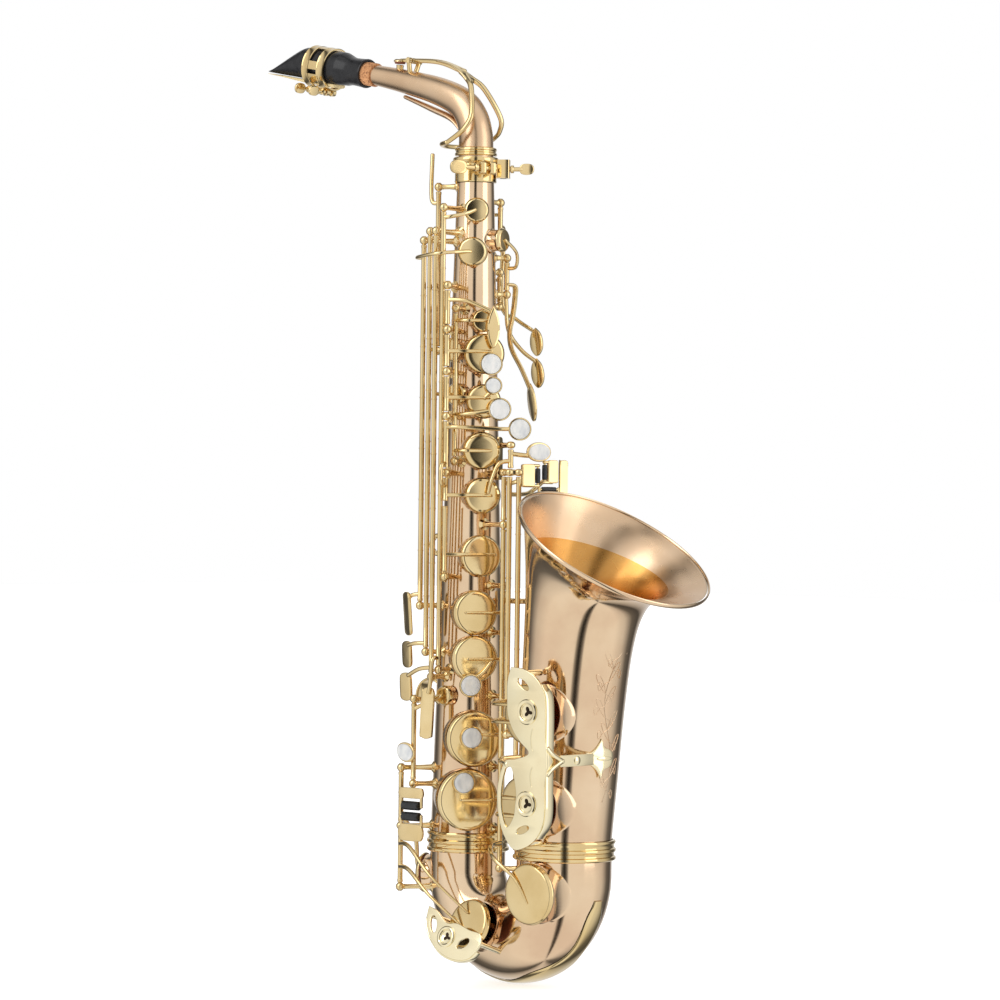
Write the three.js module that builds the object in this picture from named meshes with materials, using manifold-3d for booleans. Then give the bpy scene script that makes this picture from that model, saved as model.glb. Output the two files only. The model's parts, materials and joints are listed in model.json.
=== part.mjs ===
// Alto saxophone, assembled: body, bow, bell, neck, mouthpiece and every key as its own solid.
// Millimetres, +Z up. The body tube stands on the Z axis and the bell rises in front of it, towards +X.
// The player stands on the -X side, facing +X, so the player's right hand is on the -Y side.
// The group is shifted at the end, so that its origin is the centre of the neck-strap ring.
import * as THREE from "three";
import { mergeVertices } from "three/addons/utils/BufferGeometryUtils.js";
import Module from "manifold-3d";

const wasm = await Module();
wasm.setup();

// ---------- driving dimensions ----------
const GAP = 0.4; // running clearance between pieces that move, and between pieces that touch
const WALL = 1.1; // sheet brass, a little heavier than the real 0.7
const TUBE_TOP = { z: 553, r: 13 };
const TUBE_FOOT = { z: 95, r: 26.4 };
const BOW = { cx: 44.6, cz: 74, top: 94.8, radius: 44.6, rBody: 26.4, rBell: 32.6 };
const ROD = 1.8; // radius of a hinge tube
const POST_HEAD = { r: 3, half: 2.6 };
const STRAP_RING = { x: -31.5, z: 300 };
const UPPER = { phi: -33, rim: 24, th: 4.2, hinge: [-26, 27], inner: [-19, 23], open: 9, openInner: 12 };
const LOWER = { phi: -45, rim: 29.5, th: 4.8, hinge: [21.5, 26], open: 12 };
const BELL_SIDE = { phi: -90, rim: 40.5, th: 4.8, open: 8 };
const PINKY = -48; // frame of the right little finger's keys
const TABLE = -20; // frame of the left little finger's table

// Bell sections: centre x, centre z, forward tilt in degrees, radius.
const BELL = [
  [89.2, 95.5, 0, 32.6],
  [89.2, 104, 0, 32.8],
  [91.6, 140, 3, 34],
  [95.6, 195, 5, 35.7],
  [100, 236, 7, 37.6],
  [105, 262, 12, 41],
  [111.5, 279, 19, 47],
  [119, 290, 26, 55],
  [126, 296.5, 30.5, 63],
  [131, 300, 32, 69.3],
];

const tubeRadius = (z) =>
  THREE.MathUtils.lerp(TUBE_TOP.r, TUBE_FOOT.r, (TUBE_TOP.z - z) / (TUBE_TOP.z - TUBE_FOOT.z));
const rad = THREE.MathUtils.degToRad;
const V = (x, y, z) => new THREE.Vector3(x, y, z);

// ---------- solids ----------
function solid(geometry) {
  const plain = geometry.index ? geometry.toNonIndexed() : geometry.clone();
  plain.deleteAttribute("normal");
  plain.deleteAttribute("uv");
  const merged = mergeVertices(plain, 1e-4);
  return new wasm.Manifold(
    new wasm.Mesh({
      numProp: 3,
      vertProperties: new Float32Array(merged.attributes.position.array),
      triVerts: new Uint32Array(merged.index.array),
    }),
  );
}

const join = (...solids) => solids.flat().reduce((whole, next) => whole.add(next));

function placed(geometry, matrix) {
  return solid(geometry.clone().applyMatrix4(matrix));
}

// A round bar from a to b, tapering from radius ra to rb.
function bar(a, b, ra, rb = ra, sides = 6) {
  const along = b.clone().sub(a);
  const geometry = new THREE.CylinderGeometry(rb, ra, along.length(), sides);
  geometry.translate(0, along.length() / 2, 0);
  geometry.applyQuaternion(new THREE.Quaternion().setFromUnitVectors(V(0, 1, 0), along.normalize()));
  geometry.translate(a.x, a.y, a.z);
  return solid(geometry);
}

// A chain of bars through the points; each runs on a little, so that they join without a notch.
function arm(points, ra, rb = ra, sides = 4) {
  const last = points.length - 1;
  return points.slice(1).map((end, i) => {
    const begin = points[i];
    const ahead = end.clone().sub(begin).normalize();
    const over = i + 1 < last ? 0.5 * ra : 0;
    const r0 = THREE.MathUtils.lerp(ra, rb, i / last);
    const r1 = THREE.MathUtils.lerp(ra, rb, (i + 1) / last);
    return bar(begin, end.clone().addScaledVector(ahead, over), r0, r1, sides);
  });
}

// A closed skin over rings of equal point counts, with a flat cap at each end.
function loft(rings) {
  const sides = rings[0].length;
  const points = rings.flat();
  const centre = (ring) => ring.reduce((sum, p) => sum.add(p), V(0, 0, 0)).divideScalar(sides);
  points.push(centre(rings[0]), centre(rings.at(-1)));
  const index = [];
  for (let i = 0; i + 1 < rings.length; i++)
    for (let j = 0; j < sides; j++) {
      const [a, b] = [i * sides + j, i * sides + ((j + 1) % sides)];
      index.push(a, b, b + sides, a, b + sides, a + sides);
    }
  const foot = (rings.length - 1) * sides;
  for (let j = 0; j < sides; j++) {
    const next = (j + 1) % sides;
    index.push(points.length - 2, next, j);
    index.push(points.length - 1, foot + j, foot + next);
  }
  const geometry = new THREE.BufferGeometry().setFromPoints(points);
  geometry.setIndex(index);
  const made = solid(geometry);
  return made.volume() < 0 ? solid(flipped(geometry)) : made;
}

function flipped(geometry) {
  const turned = geometry.clone();
  const index = Array.from(turned.index.array);
  for (let i = 0; i < index.length; i += 3) [index[i + 1], index[i + 2]] = [index[i + 2], index[i + 1]];
  return turned.setIndex(index);
}

// A ring of points about a centre in the X-Z plane's tube; tilt turns its normal from +Z towards +X.
function tubeRing(x, z, tilt, r, sides) {
  const across = V(Math.cos(rad(tilt)), 0, -Math.sin(rad(tilt)));
  return Array.from({ length: sides }, (_, i) => {
    const angle = (2 * Math.PI * i) / sides;
    return V(x, 0, z)
      .addScaledVector(across, r * Math.cos(angle))
      .addScaledVector(V(0, 1, 0), r * Math.sin(angle));
  });
}

const tubeLoft = (sections, sides) => loft(sections.map(([x, z, tilt, r]) => tubeRing(x, z, tilt, r, sides)));

// ---------- the working frame at an angle round the body tube ----------
// In it x runs across the tube, y up the tube and z straight out of it.
function frameAt(phi) {
  const out = V(Math.cos(rad(phi)), Math.sin(rad(phi)), 0);
  const across = V(-Math.sin(rad(phi)), Math.cos(rad(phi)), 0);
  return new THREE.Matrix4().makeBasis(across, V(0, 0, 1), out);
}

const inFrame = (phi, x, y, z) => V(x, y, z).applyMatrix4(frameAt(phi));
const polar = (radius, phi, z) => V(radius * Math.cos(rad(phi)), radius * Math.sin(rad(phi)), z);

function turned(matrix, [x, z], degrees) {
  return new THREE.Matrix4()
    .makeTranslation(x, 0, z)
    .multiply(new THREE.Matrix4().makeRotationY(rad(degrees)))
    .multiply(new THREE.Matrix4().makeTranslation(-x, 0, -z))
    .premultiply(matrix);
}

const disc = (r0, r1, height, sides) =>
  new THREE.CylinderGeometry(r1, r0, height, sides).rotateX(Math.PI / 2).translate(0, 0, height / 2);

// Pieces of a key, all in its working frame with the key closed.
const cup = (x, y, rim, r, th) => solid(disc(r, r - 1, th, 12).translate(x, y, rim + GAP));
const pearl = (x, y, z, r, squash = 1, tilt = 0) =>
  solid(disc(r, r, 3, 10).scale(1, squash, 1).rotateZ(rad(tilt)).translate(x, y, z));
const rod = ([x, z], y0, y1) => bar(V(x, y0, z), V(x, y1, z), ROD);
const local = (...points) => points.map(([x, y, z]) => V(x, y, z));
const reach = (ra, rb, ...points) => arm(local(...points), ra, rb);
const slab = (x, y, z, wide, tall, thick) =>
  solid(new THREE.BoxGeometry(wide, tall, thick).translate(x, y, z));

// ---------- materials ----------
const finish = (color, roughness, metalness) =>
  new THREE.MeshStandardMaterial({ color, roughness, metalness });
const ROSE = finish(0xd9a679, 0.22, 1);
const BRASS = finish(0xdfc27c, 0.18, 1);
const EBONITE = finish(0x17171a, 0.25, 0);
const PLASTIC = finish(0x141417, 0.3, 0);
const CORK = finish(0xb9733f, 0.9, 0);
const CANE = finish(0xd9c185, 0.6, 0);

const saxophone = new THREE.Group();

function piece(name, made, material) {
  const mesh = made.getMesh();
  const geometry = new THREE.BufferGeometry();
  geometry.setAttribute("position", new THREE.BufferAttribute(new Float32Array(mesh.vertProperties), 3));
  geometry.setIndex(new THREE.BufferAttribute(new Uint32Array(mesh.triVerts), 1));
  geometry.computeVertexNormals();
  const node = new THREE.Mesh(geometry, material);
  node.name = name;
  saxophone.add(node);
}

function transformed(made, matrix) {
  return made.transform(Array.from(matrix.elements));
}

// A key is drawn closed in its working frame, then opened about its hinge to where it rests.
function key(name, phi, hinge, open, ...parts) {
  const matrix = turned(frameAt(phi), hinge, open);
  piece(name, transformed(join(...parts), matrix), BRASS);
}

// ---------- tone holes: working direction, across, height, rim, pad radius ----------
const STACK_UP = [
  [456, 8],
  [433, 14],
  [400, 12],
  [366, 13],
  [335, 12.5],
  [293, 14.7],
].map(([y, r]) => ({ phi: UPPER.phi, x: 0, y, rim: UPPER.rim, r }));
const STACK_LOW = [
  [0, 254, 15.5],
  [0, 222, 16.2],
  [0, 167, 19.5],
  [-4, 125, 21.5],
].map(([x, y, r]) => ({ phi: LOWER.phi, x, y, rim: LOWER.rim, r }));
const small = (phi, y, r, height) => ({ phi, x: 0, y, rim: tubeRadius(y) + height, r });
const HOLE = {
  highFSharp: small(-45, 533, 8.7, 5),
  highE: small(-52, 504, 10.3, 5),
  sideC: small(-91, 436, 8.5, 3.6),
  sideBFlat: small(-78, 405, 8, 3.6),
  altFSharp: small(-85, 196, 7, 3),
  palmD: small(15, 513, 8.7, 5),
  palmEFlat: small(125, 487, 9, 5),
  palmF: small(125, 533, 8, 5),
};
const BODY_HOLES = [...STACK_UP, ...STACK_LOW, ...Object.values(HOLE)];

// ---------- posts on the body tube: working direction, hinge, heights, where the foot stands ----------
const POSTS = [
  [UPPER.phi, UPPER.hinge, [480, 449.5, 420.5, 389.5, 350.5, 278.5], -72],
  [UPPER.phi, UPPER.inner, [464.5, 358.5]],
  [LOWER.phi, LOWER.hinge, [272.6, 240, 196, 147, 104]],
  [-118, [0, 37.5], [512, 258]],
  [-107, [0, 36], [518, 226]],
  [-96, [0, 36], [518, 209]],
  [-85, [0, 36], [534, 214]],
  [-118, [0, 41], [193, 134]],
  [PINKY, [-47, 10], [145, 104.5]],
  [-22, [0, 50.7], [315]],
  [62, [0, 24], [501.6, 476]],
  [85, [0, 24], [541, 514, 492, 468]],
  [-155, [0, 27], [551, 436]],
];

function post(phi, [x, z], y, foot = THREE.MathUtils.radToDeg(Math.atan2(x, z))) {
  const inside = tubeRadius(y) - 0.6;
  const base = inFrame(phi, inside * Math.sin(rad(foot)), y, inside * Math.cos(rad(foot)));
  const stem = bar(base, inFrame(phi, x, y, z), 2.2, 1.9, 4);
  const [low, high] = [-POST_HEAD.half, POST_HEAD.half].map((dy) => inFrame(phi, x, y + dy, z));
  return [stem, bar(low, high, POST_HEAD.r, POST_HEAD.r, 6)];
}

function chimney({ phi, x, y, rim, r }, from) {
  const wall = r - 1.3;
  return {
    wall: placed(disc(wall, wall, rim - from, 9).translate(x, y, from), frameAt(phi)),
    bore: placed(disc(wall - WALL, wall - WALL, rim - from + 2, 9).translate(x, y, from), frameAt(phi)),
  };
}

// ---------- body tube ----------
function bodyTube() {
  const [top, foot] = [TUBE_TOP, TUBE_FOOT];
  const outer = tubeLoft([[0, foot.z, 0, foot.r], [0, top.z, 0, top.r]], 16);
  const inner = tubeLoft([[0, foot.z - 1, 0, foot.r - WALL], [0, top.z + 1, 0, top.r - WALL]], 16);
  const holes = BODY_HOLES.map((hole) => chimney(hole, tubeRadius(hole.y) * 0.4));
  const posts = POSTS.flatMap(([phi, hinge, heights, foot]) =>
    heights.flatMap((y) => post(phi, hinge, y, foot)),
  );
  const walls = join(outer, holes.map((h) => h.wall));
  const pierced = walls.subtract(inner).subtract(join(holes.map((h) => h.bore)));
  // The posts' feet stop inside the sheet, so the bore stays clear.
  return join(pierced, join(posts).subtract(inner));
}
piece("body_tube", bodyTube(), ROSE);

const PINKY_ROD = [-28.2, -38.9];

// A post from a tube beside the body, whose centre and radius are given, to a rod at x, y.
function outsidePost([x, y], z, centre, radius, angle = Math.atan2(y, x - centre)) {
  const out = V(Math.cos(angle), Math.sin(angle), 0);
  const foot = V(centre, 0, z).addScaledVector(out, radius - 0.4);
  const head = [-POST_HEAD.half, POST_HEAD.half].map((dz) => V(x, y, z + dz));
  return [bar(foot, V(x, y, z), 2.2, 1.8, 6), bar(head[0], head[1], POST_HEAD.r)];
}

// ---------- bow, and the ferrules that join it to the body and the bell ----------
function bowSections(inset, over) {
  const steps = 10;
  const curve = Array.from({ length: steps + 1 }, (_, i) => {
    const angle = (180 * i) / steps;
    const r = THREE.MathUtils.lerp(BOW.rBody, BOW.rBell, i / steps) - inset;
    const x = BOW.cx - BOW.radius * Math.cos(rad(angle));
    const z = BOW.cz - BOW.radius * Math.sin(rad(angle));
    return [x, z, 180 - angle, r];
  });
  const [first, last] = [curve[0], curve.at(-1)];
  const ends = [first, last].map(([x, , tilt, r]) => [x, BOW.top + over, tilt, r]);
  return [ends[0], ...curve, ends[1]];
}

const LOW_C = { angle: 80, roll: -108, rim: 33.6, r: 18, open: 5 };
const LOW_E_FLAT = { phi: -160, centre: 0.3, x: 0, y: 70, rim: 30.5, r: 14 };
const LOW_C_SHARP = { phi: BELL_SIDE.phi, x: 94, y: 66, rim: 38.5, r: 21 };
const BELL_RODS = { cSharp: [47, -19], b: [53, -20], bFlat: [58, -16], gSharp: [44, -9] };

// The frame of a tone hole on the bow: x along the bow, z straight out of it.
function bowFrame({ angle, roll }) {
  const along = V(Math.sin(rad(angle)), 0, -Math.cos(rad(angle)));
  const outward = V(-Math.cos(rad(angle)), 0, -Math.sin(rad(angle)));
  const out = outward.multiplyScalar(Math.cos(rad(roll))).addScaledVector(V(0, 1, 0), Math.sin(rad(roll)));
  const centre = V(BOW.cx - BOW.radius * Math.cos(rad(angle)), 0, BOW.cz - BOW.radius * Math.sin(rad(angle)));
  const third = out.clone().cross(along);
  return new THREE.Matrix4().makeBasis(along, third, out).setPosition(centre);
}

function bow() {
  const outer = tubeLoft(bowSections(0, 0), 18);
  const inner = tubeLoft(bowSections(WALL, 0.6), 18);
  const wallR = LOW_C.r - 1.3;
  const cWall = placed(disc(wallR, wallR, LOW_C.rim - 14, 12).translate(0, 0, 14), bowFrame(LOW_C));
  const cBore = placed(disc(wallR - WALL, wallR - WALL, LOW_C.rim, 12).translate(0, 0, 14), bowFrame(LOW_C));
  const sharp = chimney(LOW_C_SHARP, 12);
  const flat = chimney(LOW_E_FLAT, 12);
  const across = new THREE.Matrix4().makeTranslation(LOW_E_FLAT.centre, 0, 0);
  const [flatWall, flatBore] = [flat.wall, flat.bore].map((made) => transformed(made, across));
  const posts = [...outsidePost(BELL_RODS.cSharp, 79, 89.2, 32.4), ...outsidePost(PINKY_ROD, 62, 1.8, 26.6)];
  const walls = join(outer, cWall, sharp.wall, flatWall);
  return join(walls.subtract(inner).subtract(join(cBore, sharp.bore, flatBore)), join(posts).subtract(inner));
}
piece("bow", bow(), ROSE);

function ferrule(x, z, r) {
  const ring = (height, grow) => [x, z + height, 0, r + grow];
  const outer = tubeLoft([ring(-8, 1.4), ring(-6, 2.6), ring(4, 2.6), ring(6, 1.4)], 20);
  return outer.subtract(tubeLoft([ring(-9, 0.4), ring(7, 0.4)], 20));
}
piece("body_ferrule", ferrule(0, 95, BOW.rBody), BRASS);
piece("bell_ferrule", ferrule(89.2, 95, BOW.rBell + 0.2), BRASS);

// A shaped plate along the outside of the bow, where it would meet the floor.
function bowPlate() {
  const ring = (grow) => bowSections(-grow, 0).slice(4, 11);
  const shell = tubeLoft(ring(1.4), 18).subtract(tubeLoft(ring(0.35), 18));
  const keep = new THREE.BoxGeometry(140, 30, 90).translate(BOW.cx + 20, 0, 12);
  return shell.intersect(solid(keep)).decompose().sort((a, b) => b.volume() - a.volume())[0];
}
piece("bow_plate", bowPlate(), BRASS);

// ---------- bell, with its tone holes and the posts of the low keys ----------
const BELL_HOLES = [
  { phi: BELL_SIDE.phi, x: 100, y: 188, rim: BELL_SIDE.rim, r: 20.5 },
  { phi: BELL_SIDE.phi, x: 97, y: 125, rim: BELL_SIDE.rim, r: 21 },
];

function bell() {
  const sections = BELL.map(([x, z, tilt, r]) => [x, z, tilt, r]);
  const outer = tubeLoft(sections, 24);
  const bore = sections.map(([x, z, tilt, r], i) => {
    const push = i === 0 ? -1 : i === sections.length - 1 ? 1.2 : 0;
    return [x + push * Math.sin(rad(tilt)), z + push * Math.cos(rad(tilt)), tilt, r - WALL];
  });
  const holes = BELL_HOLES.map((hole) => chimney(hole, 20));
  const walls = join(outer, holes.map((h) => h.wall));
  const inner = tubeLoft(bore, 24);
  const pierced = walls.subtract(inner).subtract(join(holes.map((h) => h.bore)));
  const lower = outsidePost(BELL_RODS.bFlat, 108.6, 90.2, 33);
  const posts = [...lower, ...outsidePost(BELL_RODS.b, 171, 94, 34.9, rad(221))];
  return join(pierced, join(posts).subtract(inner));
}
piece("bell", bell(), ROSE);

// The rim wire stands outside the lip and rolls over it.
function rimWire() {
  const [x, z, tilt, r] = BELL.at(-1);
  const turn = new THREE.Matrix4().makeRotationY(rad(tilt)).setPosition(x, 0, z);
  const outline = [
    [r + 0.5, -2],
    [r + 1.6, -1.6],
    [r + 2.1, -0.2],
    [r + 1.6, 1.2],
    [r + 0.5, 1.2],
    [r + 0.5, -2],
  ].map(([a, b]) => new THREE.Vector2(a, b));
  return placed(new THREE.LatheGeometry(outline, 24).rotateX(Math.PI / 2), turn);
}
piece("bell_rim", rimWire(), ROSE);

// ---------- fittings on the body ----------
function ringPlate(outer, inner, depth, sides = 16) {
  const shape = new THREE.Shape().absarc(0, 0, outer, 0, 2 * Math.PI);
  shape.holes.push(new THREE.Path().absarc(0, 0, inner, 0, 2 * Math.PI, true));
  return new THREE.ExtrudeGeometry(shape, { depth, bevelEnabled: false, curveSegments: sides });
}

// Strap ring: an eye on a foot plate, on the player's side of the body.
function strapRing() {
  const eye = ringPlate(8, 4.8, 3.4).translate(0, 0, -1.7).rotateX(Math.PI / 2);
  eye.translate(STRAP_RING.x, 0, STRAP_RING.z);
  const surface = -(tubeRadius(STRAP_RING.z) + 0.5);
  const foot = slab(surface - 1, 0, STRAP_RING.z, 1.6, 11, 26);
  const neck = slab(surface - 3.1, 0, STRAP_RING.z, 4.4, 3.4, 9);
  return join(solid(eye), foot, neck);
}
piece("strap_ring", strapRing(), BRASS);

// Thumb hook: a bent strip that the right thumb hangs the weight on.
function thumbHook() {
  const z = 196;
  const surface = -(tubeRadius(z) + 0.9);
  const line = [
    [surface, z - 16],
    [surface, z + 8],
    [surface - 8, z + 11],
    [surface - 17, z + 8],
    [surface - 22, z],
    [surface - 23, z - 8],
  ];
  const back = [
    [surface - 20.4, z - 8],
    [surface - 19.6, z - 0.6],
    [surface - 15.6, z + 5.6],
    [surface - 8, z + 8.2],
    [surface - 2, z + 5.8],
    [surface - 2, z - 16],
  ];
  const shape = new THREE.Shape([...line, ...back].map(([a, b]) => new THREE.Vector2(a, b)));
  const strip = new THREE.ExtrudeGeometry(shape, { depth: 13, bevelEnabled: false });
  return solid(strip.translate(0, 0, -6.5).rotateX(Math.PI / 2));
}
piece("thumb_hook", thumbHook(), BRASS);

function thumbRest() {
  const at = frameAt(172);
  const z = 432;
  return placed(disc(10.5, 9.5, 4, 14).translate(0, z, tubeRadius(z) + 1.6), at);
}
piece("thumb_rest", thumbRest(), PLASTIC);

// The ring brace that holds the bell and the body apart.
function bodyBrace() {
  const z = 262;
  const [bodyX, bellX] = [tubeRadius(z) + 0.5, 63.4];
  const middle = (bodyX + bellX) / 2;
  const ring = solid(ringPlate(12, 8.6, 3.2).translate(middle, 9, z - 1.6));
  const reachRod = (from, to) => bar(V(from, 9, z), V(to, 9, z), 2, 2.2);
  const pad = (x) => slab(x, 9, z, 1.6, 7, 14);
  const bodySide = Math.sqrt(tubeRadius(z) ** 2 - 30) + 2.2;
  const rods = [reachRod(bodySide, middle - 10.5), reachRod(middle + 10.5, bellX - 1.6)];
  return join(ring, rods, pad(bodySide + 0.2), pad(bellX - 2.4));
}
piece("body_to_bell_brace", bodyBrace(), BRASS);

// ---------- neck receiver: the socket at the top of the body, split and clamped ----------
function neckReceiver() {
  const [z0, z1] = [553.4, 571];
  const sleeve = bar(V(0, 0, z0), V(0, 0, z1), 14.6, 14.6, 24);
  const collar = bar(V(0, 0, z1 - 4), V(0, 0, z1), 16, 16, 24);
  const lug = (x) => placed(new THREE.BoxGeometry(4.6, 9, 9).translate(x, 562.5, 18), frameAt(-24));
  const lugs = [-3.6, 3.6].map(lug);
  const lyre = placed(new THREE.BoxGeometry(9, 13, 9).translate(0, 563, 19.6), frameAt(34));
  const slot = placed(new THREE.BoxGeometry(2.4, 14, 24).translate(0, 563.5, 18), frameAt(-24));
  const socket = placed(new THREE.BoxGeometry(4.6, 20, 4.4).translate(0, 563, 19.6), frameAt(34));
  const screwHole = bar(inFrame(-24, -12, 562.5, 18.6), inFrame(-24, 12, 562.5, 18.6), 2.2);
  const lyreHole = bar(inFrame(34, 0, 563, 20), inFrame(34, 0, 563, 30), 2);
  const bore = bar(V(0, 0, z0 - 1), V(0, 0, z1 + 1), 12.9, 12.9, 24);
  return join(sleeve, collar, lugs, lyre).subtract(join(bore, slot, socket, screwHole, lyreHole));
}
piece("neck_receiver", neckReceiver(), BRASS);

function clampScrew() {
  const at = (x) => inFrame(-24, x, 562.5, 18.6);
  const shaft = bar(at(-16), at(7.5), 1.7);
  const collar = bar(at(-9), at(-6.4), 3);
  const paddle = placed(
    new THREE.CylinderGeometry(6.6, 6.6, 2.2, 16).rotateX(Math.PI / 2).translate(-21, 562.5, 18.6),
    frameAt(-24),
  );
  return join(shaft, collar, paddle);
}
piece("neck_clamp_screw", clampScrew(), BRASS);

function lyreScrew() {
  const at = (z) => inFrame(34, 0, 563, z);
  const paddle = new THREE.CylinderGeometry(5.4, 5.4, 2, 14).rotateX(Math.PI / 2).rotateY(rad(90));
  const head = placed(paddle.translate(0, 563, 36), frameAt(34));
  return join(bar(at(22.4), at(33), 1.6), bar(at(24.6), at(27), 2.8), head);
}
piece("lyre_screw", lyreScrew(), BRASS);

// ---------- neck ----------
const NECK = [
  [0, 555, 0, 12.4],
  [0, 576, 0, 12.2],
  [-0.5, 588, -6, 11.9],
  [-4.5, 600, -28, 11.4],
  [-14.5, 610.5, -55, 10.8],
  [-35, 619.5, -72, 9.9],
  [-64, 627.6, -76, 8.6],
  [-92, 634, -78, 7.4],
  [-118, 639, -79, 6.4],
];

function neckTube() {
  const inner = NECK.map(([x, z, tilt, r], i) => {
    const push = i === 0 ? -1 : i === NECK.length - 1 ? 1 : 0;
    return [x + push * Math.sin(rad(tilt)), z + push * Math.cos(rad(tilt)), tilt, r - WALL];
  });
  const outer = tubeLoft(NECK, 14);
  const collar = bar(V(0, 0, 572), V(0, 0, 578), 14.8, 14.2, 14);
  const under = arm([V(-6, 0, 583), V(-20, 0, 598), V(-42, 0, 607.5), V(-68, 0, 617.6)], 2.4, 1.6);
  const post = (y) => bar(V(-62, y * 0.4, 632), V(-60.5, y, 642.5), 1.7, 1.7, 6);
  const vent = bar(V(-75, 0, 632), V(-74, 0, 641), 2.6);
  const skin = join(outer, collar, under, post(-5.4), post(5.4), vent);
  return skin.subtract(tubeLoft(inner, 14)).subtract(bar(V(-75.4, 0, 626), V(-73.6, 0, 644), 1.1));
}
piece("neck_tube", neckTube(), ROSE);

// Mouthpiece axis: along the cork, away from the body.
const TIP = V(-Math.cos(rad(10.5)), 0, Math.sin(rad(10.5)));
const UP = V(Math.sin(rad(10.5)), 0, Math.cos(rad(10.5)));
const CORK_FOOT = V(-97, 0, 635.1);
const alongPiece = (s, up = 0, side = 0) =>
  CORK_FOOT.clone().addScaledVector(TIP, s).addScaledVector(UP, up).addScaledVector(V(0, 1, 0), side);

function neckCork() {
  const cork = bar(alongPiece(0), alongPiece(25), 8.5, 7.9, 16);
  const [before, tip] = [NECK.at(-2), NECK.at(-1)];
  // The neck's end, run on both ways and a little wider, so that the cork clears it.
  const core = [
    [before[0] + 16, before[1] - 3.4, before[2], before[3] + 1.1],
    [tip[0] - 9, tip[1] + 1.9, tip[2], tip[3] + 0.1],
  ];
  return cork.subtract(tubeLoft(core, 20));
}
piece("neck_cork", neckCork(), CORK);

// Outline of the mouthpiece at s from the cork's foot: radius, then how far the top and the table are cut.
const MOUTHPIECE = [
  [9, 10.4, 10.4, 10.4],
  [22, 9.8, 9.8, 9.8],
  [34, 12.6, 12.6, 11],
  [64, 12.2, 12.2, 10.8],
  [72, 11.6, 11.4, 10.8],
  [92, 8.6, -1.4, 10.7],
  [103, 7.2, -9.2, 10.6],
];

function mouthpiece() {
  const sides = 16;
  const rings = MOUTHPIECE.map(([s, r, top, table]) =>
    Array.from({ length: sides }, (_, i) => {
      const angle = (2 * Math.PI * i) / sides;
      const round = THREE.MathUtils.clamp(r * Math.sin(angle), -table, top);
      const flattened = THREE.MathUtils.mapLinear(Math.sin(angle), -1, 1, -table, top);
      return alongPiece(s, top < 0 ? flattened : round, r * Math.cos(angle));
    }),
  );
  const socket = bar(alongPiece(8), alongPiece(34), 8.9, 8.9, 14);
  const chamber = bar(alongPiece(33), alongPiece(66), 7.6, 6, 14);
  const window = arm([alongPiece(60, -5), alongPiece(96, -9.6)], 5, 2.6, 8);
  return loft(rings).subtract(join(socket, chamber, window));
}
piece("mouthpiece", mouthpiece(), EBONITE);

function reed() {
  const width = 7.2;
  const ring = (s, thick, wide) =>
    [
      [wide, -11.4],
      [wide, -11.4 - thick * 0.6],
      [wide * 0.6, -11.4 - thick],
      [-wide * 0.6, -11.4 - thick],
      [-wide, -11.4 - thick * 0.6],
      [-wide, -11.4],
    ].map(([side, up]) => alongPiece(s, up, side));
  const heel = [ring(36, 2.6, width - 1.2), ring(68, 2.6, width - 0.4)];
  return loft([...heel, ring(90, 1.2, width), ring(103, 0.5, width)]);
}
piece("reed", reed(), CANE);

function ligature() {
  const [r, wall] = [14.7, 1];
  const oval = (s, grow) =>
    Array.from({ length: 18 }, (_, i) => {
      const angle = (2 * Math.PI * i) / 18;
      const up = Math.sin(angle) > 0 ? r - 0.3 : r + 1.9;
      return alongPiece(s, (up + grow) * Math.sin(angle), (r + grow) * Math.cos(angle));
    });
  const band = loft([oval(41, 0), oval(63, 0)]).subtract(loft([oval(40, -wall), oval(64, -wall)]));
  const window = (side) => bar(alongPiece(52, 3, side * 20), alongPiece(52, 3, side * 4), 5.6, 5.6, 10);
  const holes = [-1, 1].map(window);
  const lugs = [45, 59].map((s) => bar(alongPiece(s, -17.8, -5), alongPiece(s, -17.8, 5), 2.8));
  const threads = [45, 59].map((s) => bar(alongPiece(s, -17.8, -8), alongPiece(s, -17.8, 8), 1.8));
  return join(band.subtract(join(holes)), lugs).subtract(join(threads));
}
piece("ligature", ligature(), BRASS);

function ligatureScrew(s) {
  const at = (side, shift = 0) => alongPiece(s + shift, -17.8, side);
  const paddle = bar(at(-16.4, -1), at(-16.4, 1), 5.2, 5.2, 14);
  return join(bar(at(-12.4), at(6), 1.4), bar(at(-8.6), at(-5.6), 2.4), paddle);
}
piece("ligature_screw_front", ligatureScrew(59), BRASS);
piece("ligature_screw_rear", ligatureScrew(45), BRASS);

// Neck octave key: pad over the vent, a lever along the top, and a loop round the foot of the neck.
function neckOctaveKey() {
  const pad = bar(V(-74.2, 0, 641.6), V(-74, 0, 645), 4.6, 4.2, 12);
  const lever = arm([V(-74, 0, 644), V(-60.5, 0, 642.8), V(-34, 0, 640), V(-12, 0, 632)], 1.5, 2.2);
  const loopPoints = (side) => [
    V(-12, 0, 632),
    V(1, side * 7, 619.5),
    V(9, side * 15, 600),
    V(1, side * 19, 586),
    V(-10, side * 19, 581),
  ];
  const bridge = arm(
    [V(-10, 19, 581), V(-22, 12, 580.4), V(-25, 0, 580.2), V(-22, -12, 580.4), V(-10, -19, 581)],
    1.7,
  );
  const hinge = bar(V(-60.5, -3, 642.8), V(-60.5, 3, 642.8), 1.6);
  return join(pad, lever, arm(loopPoints(1), 1.8), arm(loopPoints(-1), 1.8), bridge, hinge);
}
piece("neck_octave_key", neckOctaveKey(), BRASS);

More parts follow.
